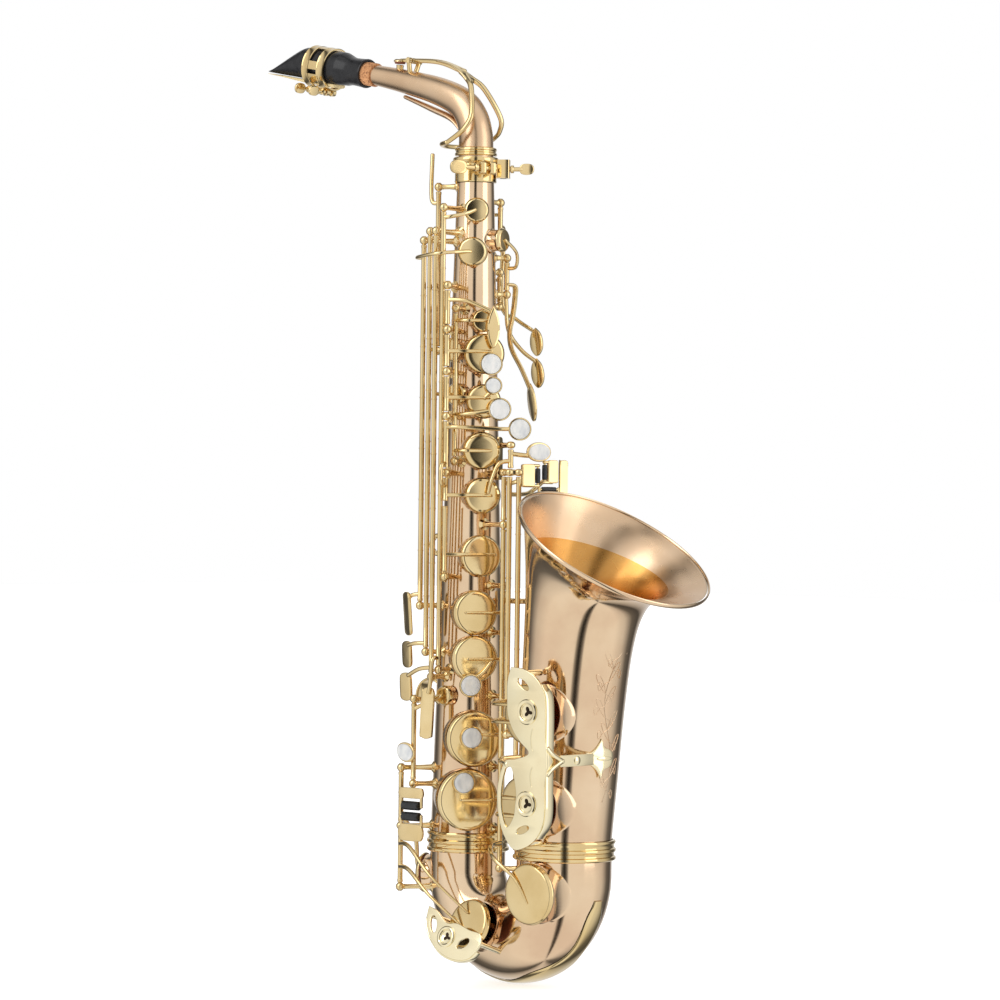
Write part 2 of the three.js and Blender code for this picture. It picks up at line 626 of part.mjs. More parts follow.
// ---------- octave lever on the body ----------
key(
  "octave_thumb_key",
  -155,
  [0, 27],
  0,
  rod([0, 27], 439.2, 547.8),
  reach(1.5, 1.5, [0, 540, 27], [-1, 543, 32.5], [-2, 574, 32.5]),
  reach(1.6, 1.6, [0, 444, 27], [-12, 446, 30], [-18, 450, 28.4]),
  slab(-20, 452, 28, 14, 15, 2.4),
);

// ---------- left-hand stack ----------
const topOf = (hole, th) => hole + GAP + th;
const UP_TOP = topOf(UPPER.rim, UPPER.th);
const LOW_TOP = topOf(LOWER.rim, LOWER.th);
const upCup = (y, r) => cup(0, y, UPPER.rim, r, UPPER.th);
const stackArm = ([x, z], bend, y, to) =>
  reach(1.6, 1.1, [x, y, z], [bend, y, UP_TOP + 0.7], [to, y, UP_TOP + 0.3]);
const upArm = (y, to) => stackArm(UPPER.hinge, -14, y, to);
const innerArm = (y, to) => stackArm(UPPER.inner, -12, y, to);

// A lever for the high F, with a pointed touch in front of the B key.
key(
  "front_f_key",
  UPPER.phi,
  UPPER.hinge,
  0,
  rod(UPPER.hinge, 453, 476.5),
  reach(1.5, 1.3, [-26, 470, 27], [-14, 469, 35], [2, 462, 40.5]),
  solid(disc(5, 3.8, 3.6, 12).scale(0.9, 3, 1).rotateZ(rad(-6)).translate(3, 451, 39.5)),
);
key(
  "b_key",
  UPPER.phi,
  UPPER.hinge,
  -UPPER.open,
  rod(UPPER.hinge, 424, 446),
  upCup(433, 14),
  upArm(434.5, 5),
  pearl(4.5, 426, UP_TOP - 0.4, 8),
);
key(
  "bis_key",
  UPPER.phi,
  UPPER.hinge,
  -UPPER.open,
  rod(UPPER.hinge, 393, 417),
  upCup(400, 12),
  upArm(402.5, 4),
  reach(1.5, 1.3, [0, 402, UP_TOP], [5.5, 408, UP_TOP + 1.8], [6, 411, UP_TOP + 2]),
  pearl(6, 411, UP_TOP + 1, 6.2),
);
key(
  "a_key",
  UPPER.phi,
  UPPER.inner,
  -UPPER.openInner,
  rod(UPPER.inner, 362, 461),
  upCup(366, 13),
  innerArm(366, 6),
  upCup(456, 8),
  innerArm(456, 3),
  reach(1.5, 1.4, [-19, 391, 23], [-12, 391, 32.5], [3, 393, 35.5], [11.5, 394.5, 35.5]),
  pearl(11.5, 394.5, 34.6, 8),
);
key(
  "g_key",
  UPPER.phi,
  UPPER.hinge,
  -UPPER.open,
  rod(UPPER.hinge, 354, 386),
  rod([UPPER.hinge[0], UPPER.hinge[1]], 331, 347),
  upCup(335, 12.5),
  upArm(335, 6),
  reach(1.5, 1.4, [-26, 382, 27], [-18, 382, 33.5], [8, 381, 37.5], [24, 381, 37.5]),
  pearl(24, 381, 36.4, 8),
  reach(1.5, 1.5, [-26, 357, 27], [-29.5, 355, 31.5], [-29.5, 344, 31.5], [-26, 341, 27]),
);
key(
  "g_sharp_key",
  UPPER.phi,
  UPPER.hinge,
  0,
  rod(UPPER.hinge, 282, 327.4),
  upCup(293, 14.7),
  upArm(294, 10),
);

// ---------- right-hand stack ----------
const lowCup = (x, y, r) => cup(x, y, LOWER.rim, r, LOWER.th);
const lowArm = (y, to) =>
  reach(1.6, 1.1, [LOWER.hinge[0], y, LOWER.hinge[1]], [13, y, LOW_TOP + 0.8], [to, y, LOW_TOP + 0.4]);

function stackKey(name, rodEnds, ...parts) {
  key(name, LOWER.phi, LOWER.hinge, LOWER.open, rod(LOWER.hinge, ...rodEnds), ...parts);
}
stackKey("f_sharp_key", [243.2, 269.4], lowCup(0, 254, 15.5), lowArm(254, -8));
stackKey(
  "f_key",
  [199.2, 236.8],
  lowCup(0, 222, 16.2),
  lowArm(222, -6),
  reach(1.6, 1.4, [12, 222, LOW_TOP], [4, 212, LOW_TOP + 2.4], [-4.4, 206, LOW_TOP + 2.6]),
  pearl(-4.4, 204, LOW_TOP + 1.4, 8),
);
stackKey("e_key", [150.2, 192.8], lowCup(0, 167, 19.5), lowArm(170, -6), pearl(-2.8, 168, LOW_TOP - 0.3, 8));
stackKey("d_key", [107.2, 143.8], lowCup(-4, 125, 21.5), lowArm(125, -10), pearl(-8, 137, LOW_TOP - 0.3, 8));

// ---------- side keys, worked by the right hand ----------
const cupTop = (hole) => hole.rim + GAP + UPPER.th;
const smallCup = (hole) => cup(0, hole.y, hole.rim, hole.r, UPPER.th);
const smallArm = (hole, ...path) => reach(1.5, 1.2, ...path, [-1, hole.y, cupTop(hole) + 0.7]);

// A cup and its arm, drawn in the hole's own frame but part of a key on another line.
const inHoleFrame = (hole, phi, ...parts) =>
  transformed(join(...parts), frameAt(phi).invert().multiply(frameAt(hole.phi)));

function plate(x, y, z, wide, tall, tilt) {
  const place = new THREE.Matrix4().makeRotationX(rad(tilt)).setPosition(x, y, z);
  return transformed(slab(0, 0, 0, wide, tall, 2.2), place);
}

function sideKey(name, phi, z, rodEnds, hole, armPath, ...touch) {
  const cupAndArm = inHoleFrame(hole, phi, smallCup(hole), smallArm(hole, ...armPath));
  key(name, phi, [0, z], 0, rod([0, z], ...rodEnds), cupAndArm, ...touch);
}
sideKey(
  "high_e_key",
  -118,
  37.5,
  [261, 509],
  HOLE.highE,
  [
    [-34.3, 500, 15.3],
    [-38.8, 500, 17.3],
    [-32, 501, 27.9],
    [-23.1, 502, 35.6],
    [-12, 503, 33],
    [-4, 504, 27],
  ],
  reach(1.5, 1.5, [0, 266, 37.5], [-4, 265, 42], [-9, 262, 43.5]),
  plate(-9, 252, 43.4, 13, 31, 4),
);
sideKey(
  "side_c_key",
  -107,
  36,
  [229, 515],
  HOLE.sideC,
  [[-10.6, 436, 34.3], [-9, 436, 28.4]],
  reach(1.5, 1.5, [0, 232, 36], [-8, 231.6, 40.4], [-15, 230, 41.4]),
  plate(-18, 223.6, 40.4, 12, 19, 3),
);
sideKey(
  "side_b_flat_key",
  -96,
  36,
  [212, 515],
  HOLE.sideBFlat,
  [[-11.1, 405, 34.2], [-9, 405, 29.5]],
  reach(1.5, 1.5, [0, 215.4, 36], [-10, 214, 38.4], [-22, 209, 38.2]),
  plate(-26, 201, 36.4, 12, 20, 3),
);
sideKey(
  "high_f_sharp_key",
  -85,
  36,
  [217, 531],
  HOLE.highFSharp,
  [[-23.1, 527, 27.6], [-18, 527.6, 30], [-8, 530, 28]],
  reach(1.5, 1.6, [0, 222, 36], [-1.5, 221, 40.8], [-3, 206, 41], [-5, 198, 40.4]),
  plate(-6.5, 184, 39.6, 11, 36, -4),
);
sideKey(
  "alt_f_sharp_key",
  -118,
  41,
  [137, 190],
  HOLE.altFSharp,
  [[-22.3, 186, 34.4], [-14, 190, 33]],
  reach(1.5, 1.4, [0, 158, 41], [1, 157, 45.4], [3, 155, 46]),
  solid(disc(10, 10, 3, 14).scale(0.92, 0.68, 1).rotateZ(rad(-12)).rotateY(rad(24)).translate(0, 156, 45.8)),
);

// ---------- palm keys, worked by the left palm ----------
const leafTouch = (x, y, z, wide, tall, lean) =>
  transformed(
    solid(disc(5, 4, 2.6, 12).scale(wide / 10, tall / 10, 1)),
    new THREE.Matrix4().makeRotationX(rad(lean)).setPosition(x, y, z),
  );
sideKey(
  "palm_d_key",
  62,
  24,
  [479, 498.6],
  HOLE.palmD,
  [[17.6, 494.6, 16.4], [16.4, 495.4, 24], [12, 505, 26.5]],
  reach(1.7, 1.8, [0, 483, 24], [1, 482, 30.4], [2, 474, 31], [2, 462, 29.6], [1, 450, 27]),
  reach(1.8, 1.9, [1, 450, 27], [1, 438, 28.6], [3, 424, 37], [4, 410, 44]),
  leafTouch(4, 401, 44.6, 13, 27, -8),
);
sideKey(
  "palm_e_flat_key",
  85,
  24,
  [471, 489],
  HOLE.palmEFlat,
  [[-15.4, 487, 18.4], [-12, 487, 25.6]],
  reach(1.7, 1.7, [0, 475.6, 24], [0, 475, 30], [-2, 452, 31], [-9, 438, 37], [-16, 430, 44.4]),
  leafTouch(-17, 421.6, 45, 12, 21, -8),
);
sideKey(
  "palm_f_key",
  85,
  24,
  [517, 538],
  HOLE.palmF,
  [[-15.4, 533, 18.4], [-12, 533, 25.2]],
  reach(1.7, 1.7, [0, 521, 24], [4, 520.4, 31], [7, 470, 33], [0, 460, 40], [-12, 452, 44.6]),
  leafTouch(-15, 443.6, 45.4, 12, 20, -6),
);

// ---------- left little finger: the bracket on the body ----------
function tableBracket() {
  const at = ([x, y], z) => V(x, y, z);
  const head = (xy, z) => bar(at(xy, z - POST_HEAD.half), at(xy, z + POST_HEAD.half), POST_HEAD.r);
  const rods = [BELL_RODS.gSharp, BELL_RODS.cSharp, BELL_RODS.b, BELL_RODS.bFlat];
  const foot = placed(new THREE.BoxGeometry(7, 30, 1.6).translate(0, 361, 20.8), frameAt(19));
  const low = arm([V(19.6, 6.6, 351), ...rods.map((xy) => at(xy, 351))], 2);
  const high = arm([V(19.6, 6.6, 370), at(rods[0], 370)], 2, 1.8);
  return join(foot, low, high, head(rods[0], 370), rods.map((xy) => head(xy, 351)));
}
piece("left_table_bracket", tableBracket(), BRASS);

// ---------- left little finger: levers, rollers, and the low keys they work ----------
const upright = ([x, y], z0, z1) => bar(V(x, y, z0), V(x, y, z1), ROD);
const TABLE_FACE = 47.5;
const tablePlate = (x0, x1, y0, y1) => slab((x0 + x1) / 2, (y0 + y1) / 2, TABLE_FACE, x1 - x0, y1 - y0, 2.4);

// Two lugs, reaching from `back`, with a pin between them for a roller to turn on.
function rollerFork([from, to], back) {
  const way = to.clone().sub(from).normalize();
  const lug = (point) => {
    const root = point.clone().addScaledVector(back, 6);
    return bar(root, point.clone().addScaledVector(back, -1), 1.1, 1.1, 6);
  };
  const [a, b] = [from.clone().addScaledVector(way, -1.2), to.clone().addScaledVector(way, 1.2)];
  return [lug(a), lug(b), bar(a, b, 0.8, 0.8, 6)];
}

function roller(name, [from, to], r, matrix) {
  const way = to.clone().sub(from).normalize();
  const [a, b] = [from.clone().addScaledVector(way, 0.3), to.clone().addScaledVector(way, -0.3)];
  const [c, d] = [from.clone().addScaledVector(way, -1), to.clone().addScaledVector(way, 1)];
  piece(name, transformed(bar(a, b, r, r, 12).subtract(bar(c, d, 1.2, 1.2, 8)), matrix), PLASTIC);
}

const ROLLER = {
  cSharp: [V(26.3, 343.5, TABLE_FACE), V(26.3, 354.5, TABLE_FACE)],
  b: [V(31.7, 346, TABLE_FACE), V(31.7, 357, TABLE_FACE)],
  bFlat: [V(29, 339.6, TABLE_FACE), V(41, 339.6, TABLE_FACE)],
};
roller("c_sharp_roller", ROLLER.cSharp, 1.9, frameAt(TABLE));
roller("b_roller", ROLLER.b, 1.9, frameAt(TABLE));
roller("b_flat_roller", ROLLER.bFlat, 1.9, frameAt(TABLE));

piece(
  "g_sharp_lever",
  join(
    upright(BELL_RODS.gSharp, 354, 367),
    arm([V(44, -9, 364), V(50, -2, 363), V(53, 5, 362.6)], 1.6),
    placed(disc(9.4, 9.4, 3.4, 14).scale(1, 0.72, 1).translate(26, 365.4, 48), frameAt(TABLE)),
    transformed(
      join(reach(1.6, 1.3, [16.4, 359, 41.8], [8, 357, 42.4], [3, 346, 42], [1, 337, 41])),
      frameAt(UPPER.phi),
    ),
  ),
  BRASS,
);
piece(
  "low_c_sharp_lever",
  join(
    upright(BELL_RODS.cSharp, 318, 348),
    transformed(
      join(
        reach(1.6, 1.5, [-1.8, 343.5, 50.7], [8, 344, 45.2], [19, 348, 45.6]),
        tablePlate(13.5, 23.7, 341, 357),
        rollerFork(ROLLER.cSharp, V(-1, 0, 0)),
      ),
      frameAt(TABLE),
    ),
  ),
  BRASS,
);

// The low keys swing about uprights between body and bell; their cups face the player's right.
const BELL_TOP = topOf(BELL_SIDE.rim, BELL_SIDE.th);

function lowKey(name, [x, y], open, rodEnds, hole, armHeights, ...touch) {
  const hinge = [x, -y];
  const closed = turned(frameAt(BELL_SIDE.phi), hinge, open);
  const top = hole.rim + GAP + BELL_SIDE.th;
  const arms = armHeights.map(([from, to]) =>
    reach(1.8, 1.3, [x, from, -y], [x + 7, from, 34], [x + 20, to, top + 2], [hole.x + 2, to, top + 0.6]),
  );
  const touches = touch.map((made) => transformed(made, closed.clone().invert().multiply(frameAt(TABLE))));
  const cupSolid = cup(hole.x, hole.y, hole.rim, hole.r, BELL_SIDE.th);
  piece(name, transformed(join(rod(hinge, ...rodEnds), cupSolid, arms.flat(), touches), closed), BRASS);
}
lowKey(
  "low_b_key",
  BELL_RODS.b,
  -BELL_SIDE.open,
  [174, 348],
  BELL_HOLES[0],
  [[182, 182], [194, 194]],
  ...reach(1.6, 1.5, [-0.7, 336, 56.7], [14, 336, 46], [27, 338, 36.6], [38, 347, 37.6], [38, 352, 46.4]),
  tablePlate(34, 42, 344, 360),
  ...rollerFork(ROLLER.b, V(1, 0, 0)),
);
lowKey(
  "low_b_flat_key",
  BELL_RODS.bFlat,
  -BELL_SIDE.open,
  [111.6, 348],
  BELL_HOLES[1],
  [[119, 119], [131, 131]],
  ...reach(1.6, 1.5, [4.8, 330, 60], [20, 330, 50], [38, 331, 43.4], [46.5, 342, 45.8]),
  tablePlate(43.4, 49.6, 334, 360),
  tablePlate(26.6, 49.6, 332.6, 335.4),
  ...rollerFork(ROLLER.bFlat, V(0, -1, 0)),
);
lowKey("low_c_sharp_key", BELL_RODS.cSharp, 0, [82, 312], LOW_C_SHARP, [[90, 66]]);

// ---------- right little finger ----------
const PINKY_HINGE = [PINKY_ROD[0], -PINKY_ROD[1]];
const PINKY_FACE = 45;
const pinkyPlate = (y0, y1) => slab(-12.75, (y0 + y1) / 2, PINKY_FACE, 23.5, y1 - y0, 2.2);
const PINKY_ROLLERS = {
  upper: [V(-20.5, 119.6, PINKY_FACE), V(-4.5, 119.6, PINKY_FACE)],
  lower: [V(-20.5, 112, PINKY_FACE), V(-4.5, 112, PINKY_FACE)],
};
roller("e_flat_roller", PINKY_ROLLERS.upper, 3.2, frameAt(BELL_SIDE.phi));

function lowEFlatKey() {
  const hinge = PINKY_HINGE;
  const hole = LOW_E_FLAT;
  const top = hole.rim + GAP + UPPER.th;
  const toWorld = frameAt(BELL_SIDE.phi);
  const cupFrame = frameAt(hole.phi).setPosition(hole.centre, 0, 0);
  const front = [
    rod(hinge, 107.4, 142),
    pinkyPlate(124.6, 132),
    reach(1.6, 1.5, [hinge[0], 127, hinge[1]], [-21, 127, PINKY_FACE]),
    rollerFork(PINKY_ROLLERS.upper, V(0, 1, 0)),
  ];
  const seat = (x, y, z) => V(x, y, z).applyMatrix4(cupFrame);
  const link = arm(
    [
      V(-28.2, -38.9, 113),
      V(-34.5, -31, 110),
      V(-31, -21, 96),
      seat(4, 76, top + 1.6),
      seat(-4, 70, top + 0.7),
    ],
    1.6,
  );
  const rear = cup(0, hole.y, hole.rim, hole.r, UPPER.th);
  return join(transformed(join(front.flat()), toWorld), transformed(rear, cupFrame), link);
}
piece("low_e_flat_key", lowEFlatKey(), BRASS);

function lowCKey() {
  const closed = turned(frameAt(BELL_SIDE.phi), PINKY_HINGE, -LOW_C.open);
  const seat = bowFrame(LOW_C);
  const lid = placed(disc(LOW_C.r, LOW_C.r - 1, 4.8, 14).translate(0, 0, LOW_C.rim + GAP), seat);
  const on = (x, y) => V(x, y, LOW_C.rim + GAP + 5.6).applyMatrix4(seat);
  const arms = [
    arm([V(-28.2, -38.9, 92), V(-12, -45, 91), V(12, -47, 73), on(-2, 7)], 1.9, 1.5),
    arm([V(-28.2, -38.9, 76), V(-12, -45, 75), V(10, -46.5, 60), on(-3, -3)], 1.9, 1.5),
  ];
  const atRest = [
    pinkyPlate(95, 107),
    ...rollerFork(PINKY_ROLLERS.lower, V(0, -1, 0)),
    ...reach(1.6, 1.5, [PINKY_HINGE[0], 98, PINKY_HINGE[1]], [-21, 98, PINKY_FACE]),
  ];
  const drawnClosed = [rod(PINKY_HINGE, 65, 101.6)].map((made) => transformed(made, closed));
  const swing = closed.clone().multiply(frameAt(BELL_SIDE.phi).invert());
  const moved = [lid, ...arms.flat()].map((made) => transformed(made, swing));
  return join(drawnClosed, moved, atRest.map((made) => transformed(made, frameAt(BELL_SIDE.phi))));
}
piece("low_c_key", lowCKey(), BRASS);
roller("low_c_roller", PINKY_ROLLERS.lower, 3.2, frameAt(BELL_SIDE.phi));

// ---------- guards over the low keys ----------
const GUARD_THICK = 1.8;

// An outline turns anticlockwise, and a hole in it turns clockwise.
function outline(points, isHole = false) {
  const corners = points.map(([x, y]) => new THREE.Vector2(x, y));
  return new THREE.Shape(THREE.ShapeUtils.isClockWise(corners) === isHole ? corners : corners.reverse());
}

function guardPlate(points, holes, openings) {
  const shape = outline(points);
  for (const [x, y, r] of holes) shape.holes.push(new THREE.Path().absarc(x, y, r, 0, 2 * Math.PI, true));
  for (const corners of openings) shape.holes.push(outline(corners, true));
  return new THREE.ExtrudeGeometry(shape, { depth: GUARD_THICK, bevelEnabled: false, curveSegments: 6 });
}

// A straight outer side with a turned-back flange, two lobes with a notch between them, and a thin
// rib round the large opening of the lower lobe.
const BELL_GUARD = {
  face: 61,
  edge: [
    [94.5, 220], [104.5, 219.3], [113.5, 215.8], [120.5, 210], [124.5, 202], [125.5, 190], [125.5, 172],
    [127, 163], [127, 151], [125.5, 142], [125.5, 124], [123.5, 114.5], [118, 106], [109, 100], [98, 98],
    [89, 108], [84.4, 121], [83.2, 135], [85.5, 147.5], [90.5, 157], [99, 158.5], [111, 163], [103, 170.5],
    [96.5, 178], [92, 188], [91.3, 198], [91.5, 211],
  ],
  holes: [[105.5, 209, 2.6], [115.6, 172, 2.5], [115.6, 147, 2.5], [107, 110.5, 3]],
  openings: [
    [[90.5, 152], [88, 144], [86.6, 134], [87.6, 122], [92, 112.5], [98, 119.5], [99.5, 128], [100, 137], [96, 152]],
  ],
  legs: [[100, 216, 39], [99, 101, 36.2]],
};
const STAR = { phi: -13, centre: 92.9, z: 158, tall: 13.4, wide: 11.5, waist: 3.7, lean: 4.2 };

function bellGuard() {
  const { face, edge, holes, openings } = BELL_GUARD;
  const plate = solid(guardPlate(edge, holes, openings).translate(0, 0, face));
  const legs = BELL_GUARD.legs.map(([x, y, from]) => reach(2, 1.8, [x, y, from], [x, y, face + 0.4]));
  const flange = reach(1.9, 1.9, [123.4, 206, 59], [124.6, 196, 57], [124.6, 122, 57], [121.6, 110, 59]);
  const prongs = [165, 151].map((y) => reach(1.8, 1.8, [126, y, face + 0.4], [127.4, STAR.z, 50]));
  const strip = reach(2.2, 2.2, [127.4, STAR.z, 50], [128.6, STAR.z, 12]);
  const onBell = frameAt(BELL_SIDE.phi).invert().multiply(frameAt(STAR.phi).setPosition(STAR.centre, 0, 0));
  const tips = [[0, STAR.tall], [STAR.wide, 0], [0, -STAR.tall], [-STAR.wide, 0]];
  const waists = [[1, 1], [1, -1], [-1, -1], [-1, 1]].map(([x, y]) => [x * STAR.waist, y * STAR.waist]);
  const points = tips.flatMap((tip, i) => [tip, waists[i]]);
  const flat = new THREE.ExtrudeGeometry(outline(points), { depth: GUARD_THICK, bevelEnabled: false });
  const star = transformed(solid(flat.rotateX(rad(STAR.lean)).translate(0, STAR.z, 35.6)), onBell);
  const rearArm = reach(2, 2, [91.6, 154.6, face + 0.8], [80, 156, 55], [77, 157, 50], [75.6, 157, 31.5]);
  const made = join(plate, legs.flat(), flange, prongs.flat(), strip, star, rearArm);
  return transformed(made, frameAt(BELL_SIDE.phi));
}
piece("bell_key_guard", bellGuard(), BRASS);

// A crescent whose hub stands over the cup's lower edge; a leg at each horn.
const LOW_C_GUARD = {
  face: 50.4,
  edge: [
    [-31, 1], [-29, -8], [-20.5, -19.5], [-8, -26.5], [6, -28], [18, -24], [23.5, -14], [21, -6], [10, -5.5],
    [-2, -4], [-11, -6], [-22, -0.5],
  ],
  holes: [[-21.5, -9.5, 4], [9, -15.5, 4.2]],
  legs: [[-27, -4.5], [20, -12]],
};

function lowCGuard() {
  const { face, edge, holes } = LOW_C_GUARD;
  const legs = LOW_C_GUARD.legs.map(([x, y]) => reach(1.9, 1.9, [x, y, 16], [x, y, face + 0.4]));
  const made = join(solid(guardPlate(edge, holes, []).translate(0, 0, face)), legs.flat());
  return transformed(made, bowFrame(LOW_C)).subtract(tubeLoft(bowSections(-0.4, 2), 24));
}
piece("low_c_guard", lowCGuard(), BRASS);

// The whole instrument hangs from its strap ring, which becomes the origin.
for (const node of saxophone.children) node.geometry.translate(-STRAP_RING.x, 0, -STRAP_RING.z);

export default saxophone;
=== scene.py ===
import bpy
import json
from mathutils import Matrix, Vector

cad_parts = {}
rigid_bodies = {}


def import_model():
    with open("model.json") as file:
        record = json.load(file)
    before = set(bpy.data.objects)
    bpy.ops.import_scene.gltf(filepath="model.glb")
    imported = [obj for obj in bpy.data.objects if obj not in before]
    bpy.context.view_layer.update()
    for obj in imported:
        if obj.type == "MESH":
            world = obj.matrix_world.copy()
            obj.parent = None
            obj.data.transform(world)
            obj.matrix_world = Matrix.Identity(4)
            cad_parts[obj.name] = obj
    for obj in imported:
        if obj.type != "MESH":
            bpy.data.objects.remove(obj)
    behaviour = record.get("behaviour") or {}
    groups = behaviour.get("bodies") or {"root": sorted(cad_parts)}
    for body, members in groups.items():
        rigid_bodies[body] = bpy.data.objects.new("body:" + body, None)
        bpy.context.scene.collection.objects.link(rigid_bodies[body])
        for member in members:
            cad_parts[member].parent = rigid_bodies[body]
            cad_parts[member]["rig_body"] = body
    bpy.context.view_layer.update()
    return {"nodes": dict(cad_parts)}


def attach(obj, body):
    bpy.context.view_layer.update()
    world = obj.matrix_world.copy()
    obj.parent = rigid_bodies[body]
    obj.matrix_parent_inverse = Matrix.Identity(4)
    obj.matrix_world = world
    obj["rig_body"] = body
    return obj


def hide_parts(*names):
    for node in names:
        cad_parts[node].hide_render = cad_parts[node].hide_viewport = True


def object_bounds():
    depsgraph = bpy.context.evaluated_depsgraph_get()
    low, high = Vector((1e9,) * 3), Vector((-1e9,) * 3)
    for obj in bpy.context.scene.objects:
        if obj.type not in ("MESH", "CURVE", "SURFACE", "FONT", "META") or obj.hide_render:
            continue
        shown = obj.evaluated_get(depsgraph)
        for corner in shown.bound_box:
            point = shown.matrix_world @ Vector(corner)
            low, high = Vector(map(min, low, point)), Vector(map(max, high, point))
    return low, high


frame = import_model()

# Alto saxophone: the looks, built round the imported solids.
# Lengths are millimetres in the body's own frame: the body tube stands on Z, the bell is towards +X
# and the player's right hand is on the -Y side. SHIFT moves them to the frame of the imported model,
# whose origin is the neck-strap ring. A key's frame has Z away from the tube and Y up along it.
import json
import math

import bmesh
import bpy
from mathutils import Matrix, Vector

MM = 0.001
BODY_OF = {name: node["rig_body"] for name, node in frame["nodes"].items()}

# ---------- driving dimensions ----------
# Air left between a chimney's lip and the cup that closes it.
GAP = 0.4
WALL = 1.0
# Height and radius of the body tube's two ends.
TUBE_TOP = (553, 13.0)
TUBE_FOOT = (95, 26.4)
STRAP_RING = (-31.5, 300)
SHIFT = Vector((-STRAP_RING[0], 0, -STRAP_RING[1]))
THUMB_HOOK_Z, THUMB_REST_Z = 196, 432
BRACE_Y, BRACE_Z = 9, 262
BELL_FOOT_X = 89.2
BOW_CX, BOW_CZ, BOW_TOP, BOW_RADIUS = 44.6, 74, 94.8, 44.6
BOW_R_BODY, BOW_R_BELL = 26.4, 32.6
ROD = 1.8
# Edges that turn by more degrees than this are shaded sharp.
SHARP_EDGE = 38
# Each stack: angle round the tube, lip and cup heights, its rods' places and how far its keys stand open.
UPPER = {
    "phi": -33, "rim": 24, "th": 4.2, "hinge": (-26, 27), "inner": (-19, 23), "open": 9,
    "open_inner": 12,
}
LOWER = {"phi": -45, "rim": 29.5, "th": 4.8, "hinge": (21.5, 26), "open": 12}
SIDE_PHI, SIDE_RIM, SIDE_TH, SIDE_OPEN = -90, 40.5, 4.8, 8
TABLE_PHI, TABLE_FACE = -20, 47.5
CLAMP_PHI, LYRE_PHI = -24, 34
CLAMP_Z, LYRE_Z = 562.5, 563
LIGATURE_R = 14.3
LIGATURE_SCREW_UP = -17.8
LIGATURE_SCREWS = {"ligature_screw_front": 59, "ligature_screw_rear": 45}
REED_UP = -11.4
CAMERA_AZIMUTH = 42
CAMERA_ROLL = 0.66
CAMERA_DISTANCE = 2.7
LENS, SENSOR = 139, 36
FLOOR_REACH, FLOOR_DROP = 9.0, 0.002
AIM_UP, AIM_RIGHT = 0.032, 0.0196
# The lights' angle from the camera, distance, height, size and energy.
LIGHTS = {"key": (-50, 1.5, 1.1, (1.0, 1.6), 9), "fill": (62, 1.7, 0.4, (0.9, 1.6), 5)}
LIGHT_AIM = (0.05, 0, 0)

# Centre x, height, tilt and radius of the bell's and the neck's sections.
BELL = [
    (89.2, 95.5, 0, 32.6), (89.2, 104, 0, 32.8), (91.6, 140, 3, 34), (95.6, 195, 5, 35.7),
    (100, 236, 7, 37.6), (105, 262, 12, 41), (111.5, 279, 19, 47), (119, 290, 26, 55),
    (126, 296.5, 30.5, 63), (131, 300, 32, 69.3),
]
NECK = [
    (0, 555, 0, 12.4), (0, 576, 0, 12.2), (-0.5, 588, -6, 11.9), (-4.5, 600, -28, 11.4),
    (-14.5, 610.5, -55, 10.8), (-35, 619.5, -72, 9.9), (-64, 627.6, -76, 8.6), (-92, 634, -78, 7.4),
    (-118, 639, -79, 6.4),
]


def lerp(a, b, t):
    return a + (b - a) * t


def tube_radius(z):
    return lerp(TUBE_TOP[1], TUBE_FOOT[1], (TUBE_TOP[0] - z) / (TUBE_TOP[0] - TUBE_FOOT[0]))


# ---------- materials ----------
def add_node(tree, kind, values=None, feeds=None):
    """A new shader node, with sockets set by name or fed from other sockets."""
    made = tree.nodes.new("ShaderNode" + kind)
    for socket, value in (values or {}).items():
        made.inputs[socket].default_value = value
    for socket, source in (feeds or {}).items():
        tree.links.new(source, made.inputs[socket])
    return made


def new_material(name):
    material = bpy.data.materials.new(name)
    material.use_nodes = True
    tree = material.node_tree
    return material, tree, add_node(tree, "TexCoord"), tree.nodes["Principled BSDF"]


def noise(tree, coord, scale, detail, stretch=(1, 1, 1)):
    placed = add_node(tree, "Mapping", {"Scale": stretch}, {"Vector": coord.outputs["Object"]})
    grain = {"Scale": scale, "Detail": detail}
    return add_node(tree, "TexNoise", grain, {"Vector": placed.outputs["Vector"]}).outputs["Fac"]


def ramp(tree, source, stops):
    made = add_node(tree, "ValToRGB", feeds={"Fac": source})
    elements = made.color_ramp.elements
    elements.remove(elements[1])
    elements[0].position = stops[0][0]
    elements[0].color = (*stops[0][1], 1)
    for position, color in stops[1:]:
        elements.new(position).color = (*color, 1)
    return made.outputs["Color"]


def spread(tree, source, low, high):
    ends = {"From Min": 0.3, "From Max": 0.7, "To Min": low, "To Max": high}
    return add_node(tree, "MapRange", ends, {"Value": source}).outputs["Result"]


def dress(tree, shader, color, gloss, relief, strength, depth, values):
    """Feeds colour, roughness and fine relief to the shader and sets its uniform sockets."""
    grained = {"Strength": strength, "Distance": depth}
    normal = add_node(tree, "Bump", grained, {"Height": relief}).outputs["Normal"]
    for socket, source in (("Base Color", color), ("Roughness", gloss), ("Normal", normal)):
        tree.links.new(source, shader.inputs[socket])
    for socket, value in values.items():
        shader.inputs[socket].default_value = value


# Lacquered sheet brass: tone drifts slowly, the gloss is broken by handling and fine polishing lines.
def lacquer(name, dark, main, light, smooth, rough, coat=0.35):
    material, tree, coord, shader = new_material(name)
    color = ramp(tree, noise(tree, coord, 26, 4), [(0.3, dark), (0.5, main), (0.72, light)])
    gloss = spread(tree, noise(tree, coord, 70, 5), smooth, rough)
    lines = noise(tree, coord, 900, 2, (1, 1, 0.06))
    values = {"Metallic": 1, "Coat Weight": coat, "Coat Roughness": 0.05}
    dress(tree, shader, color, gloss, lines, 0.035, 0.00004, values)
    return material


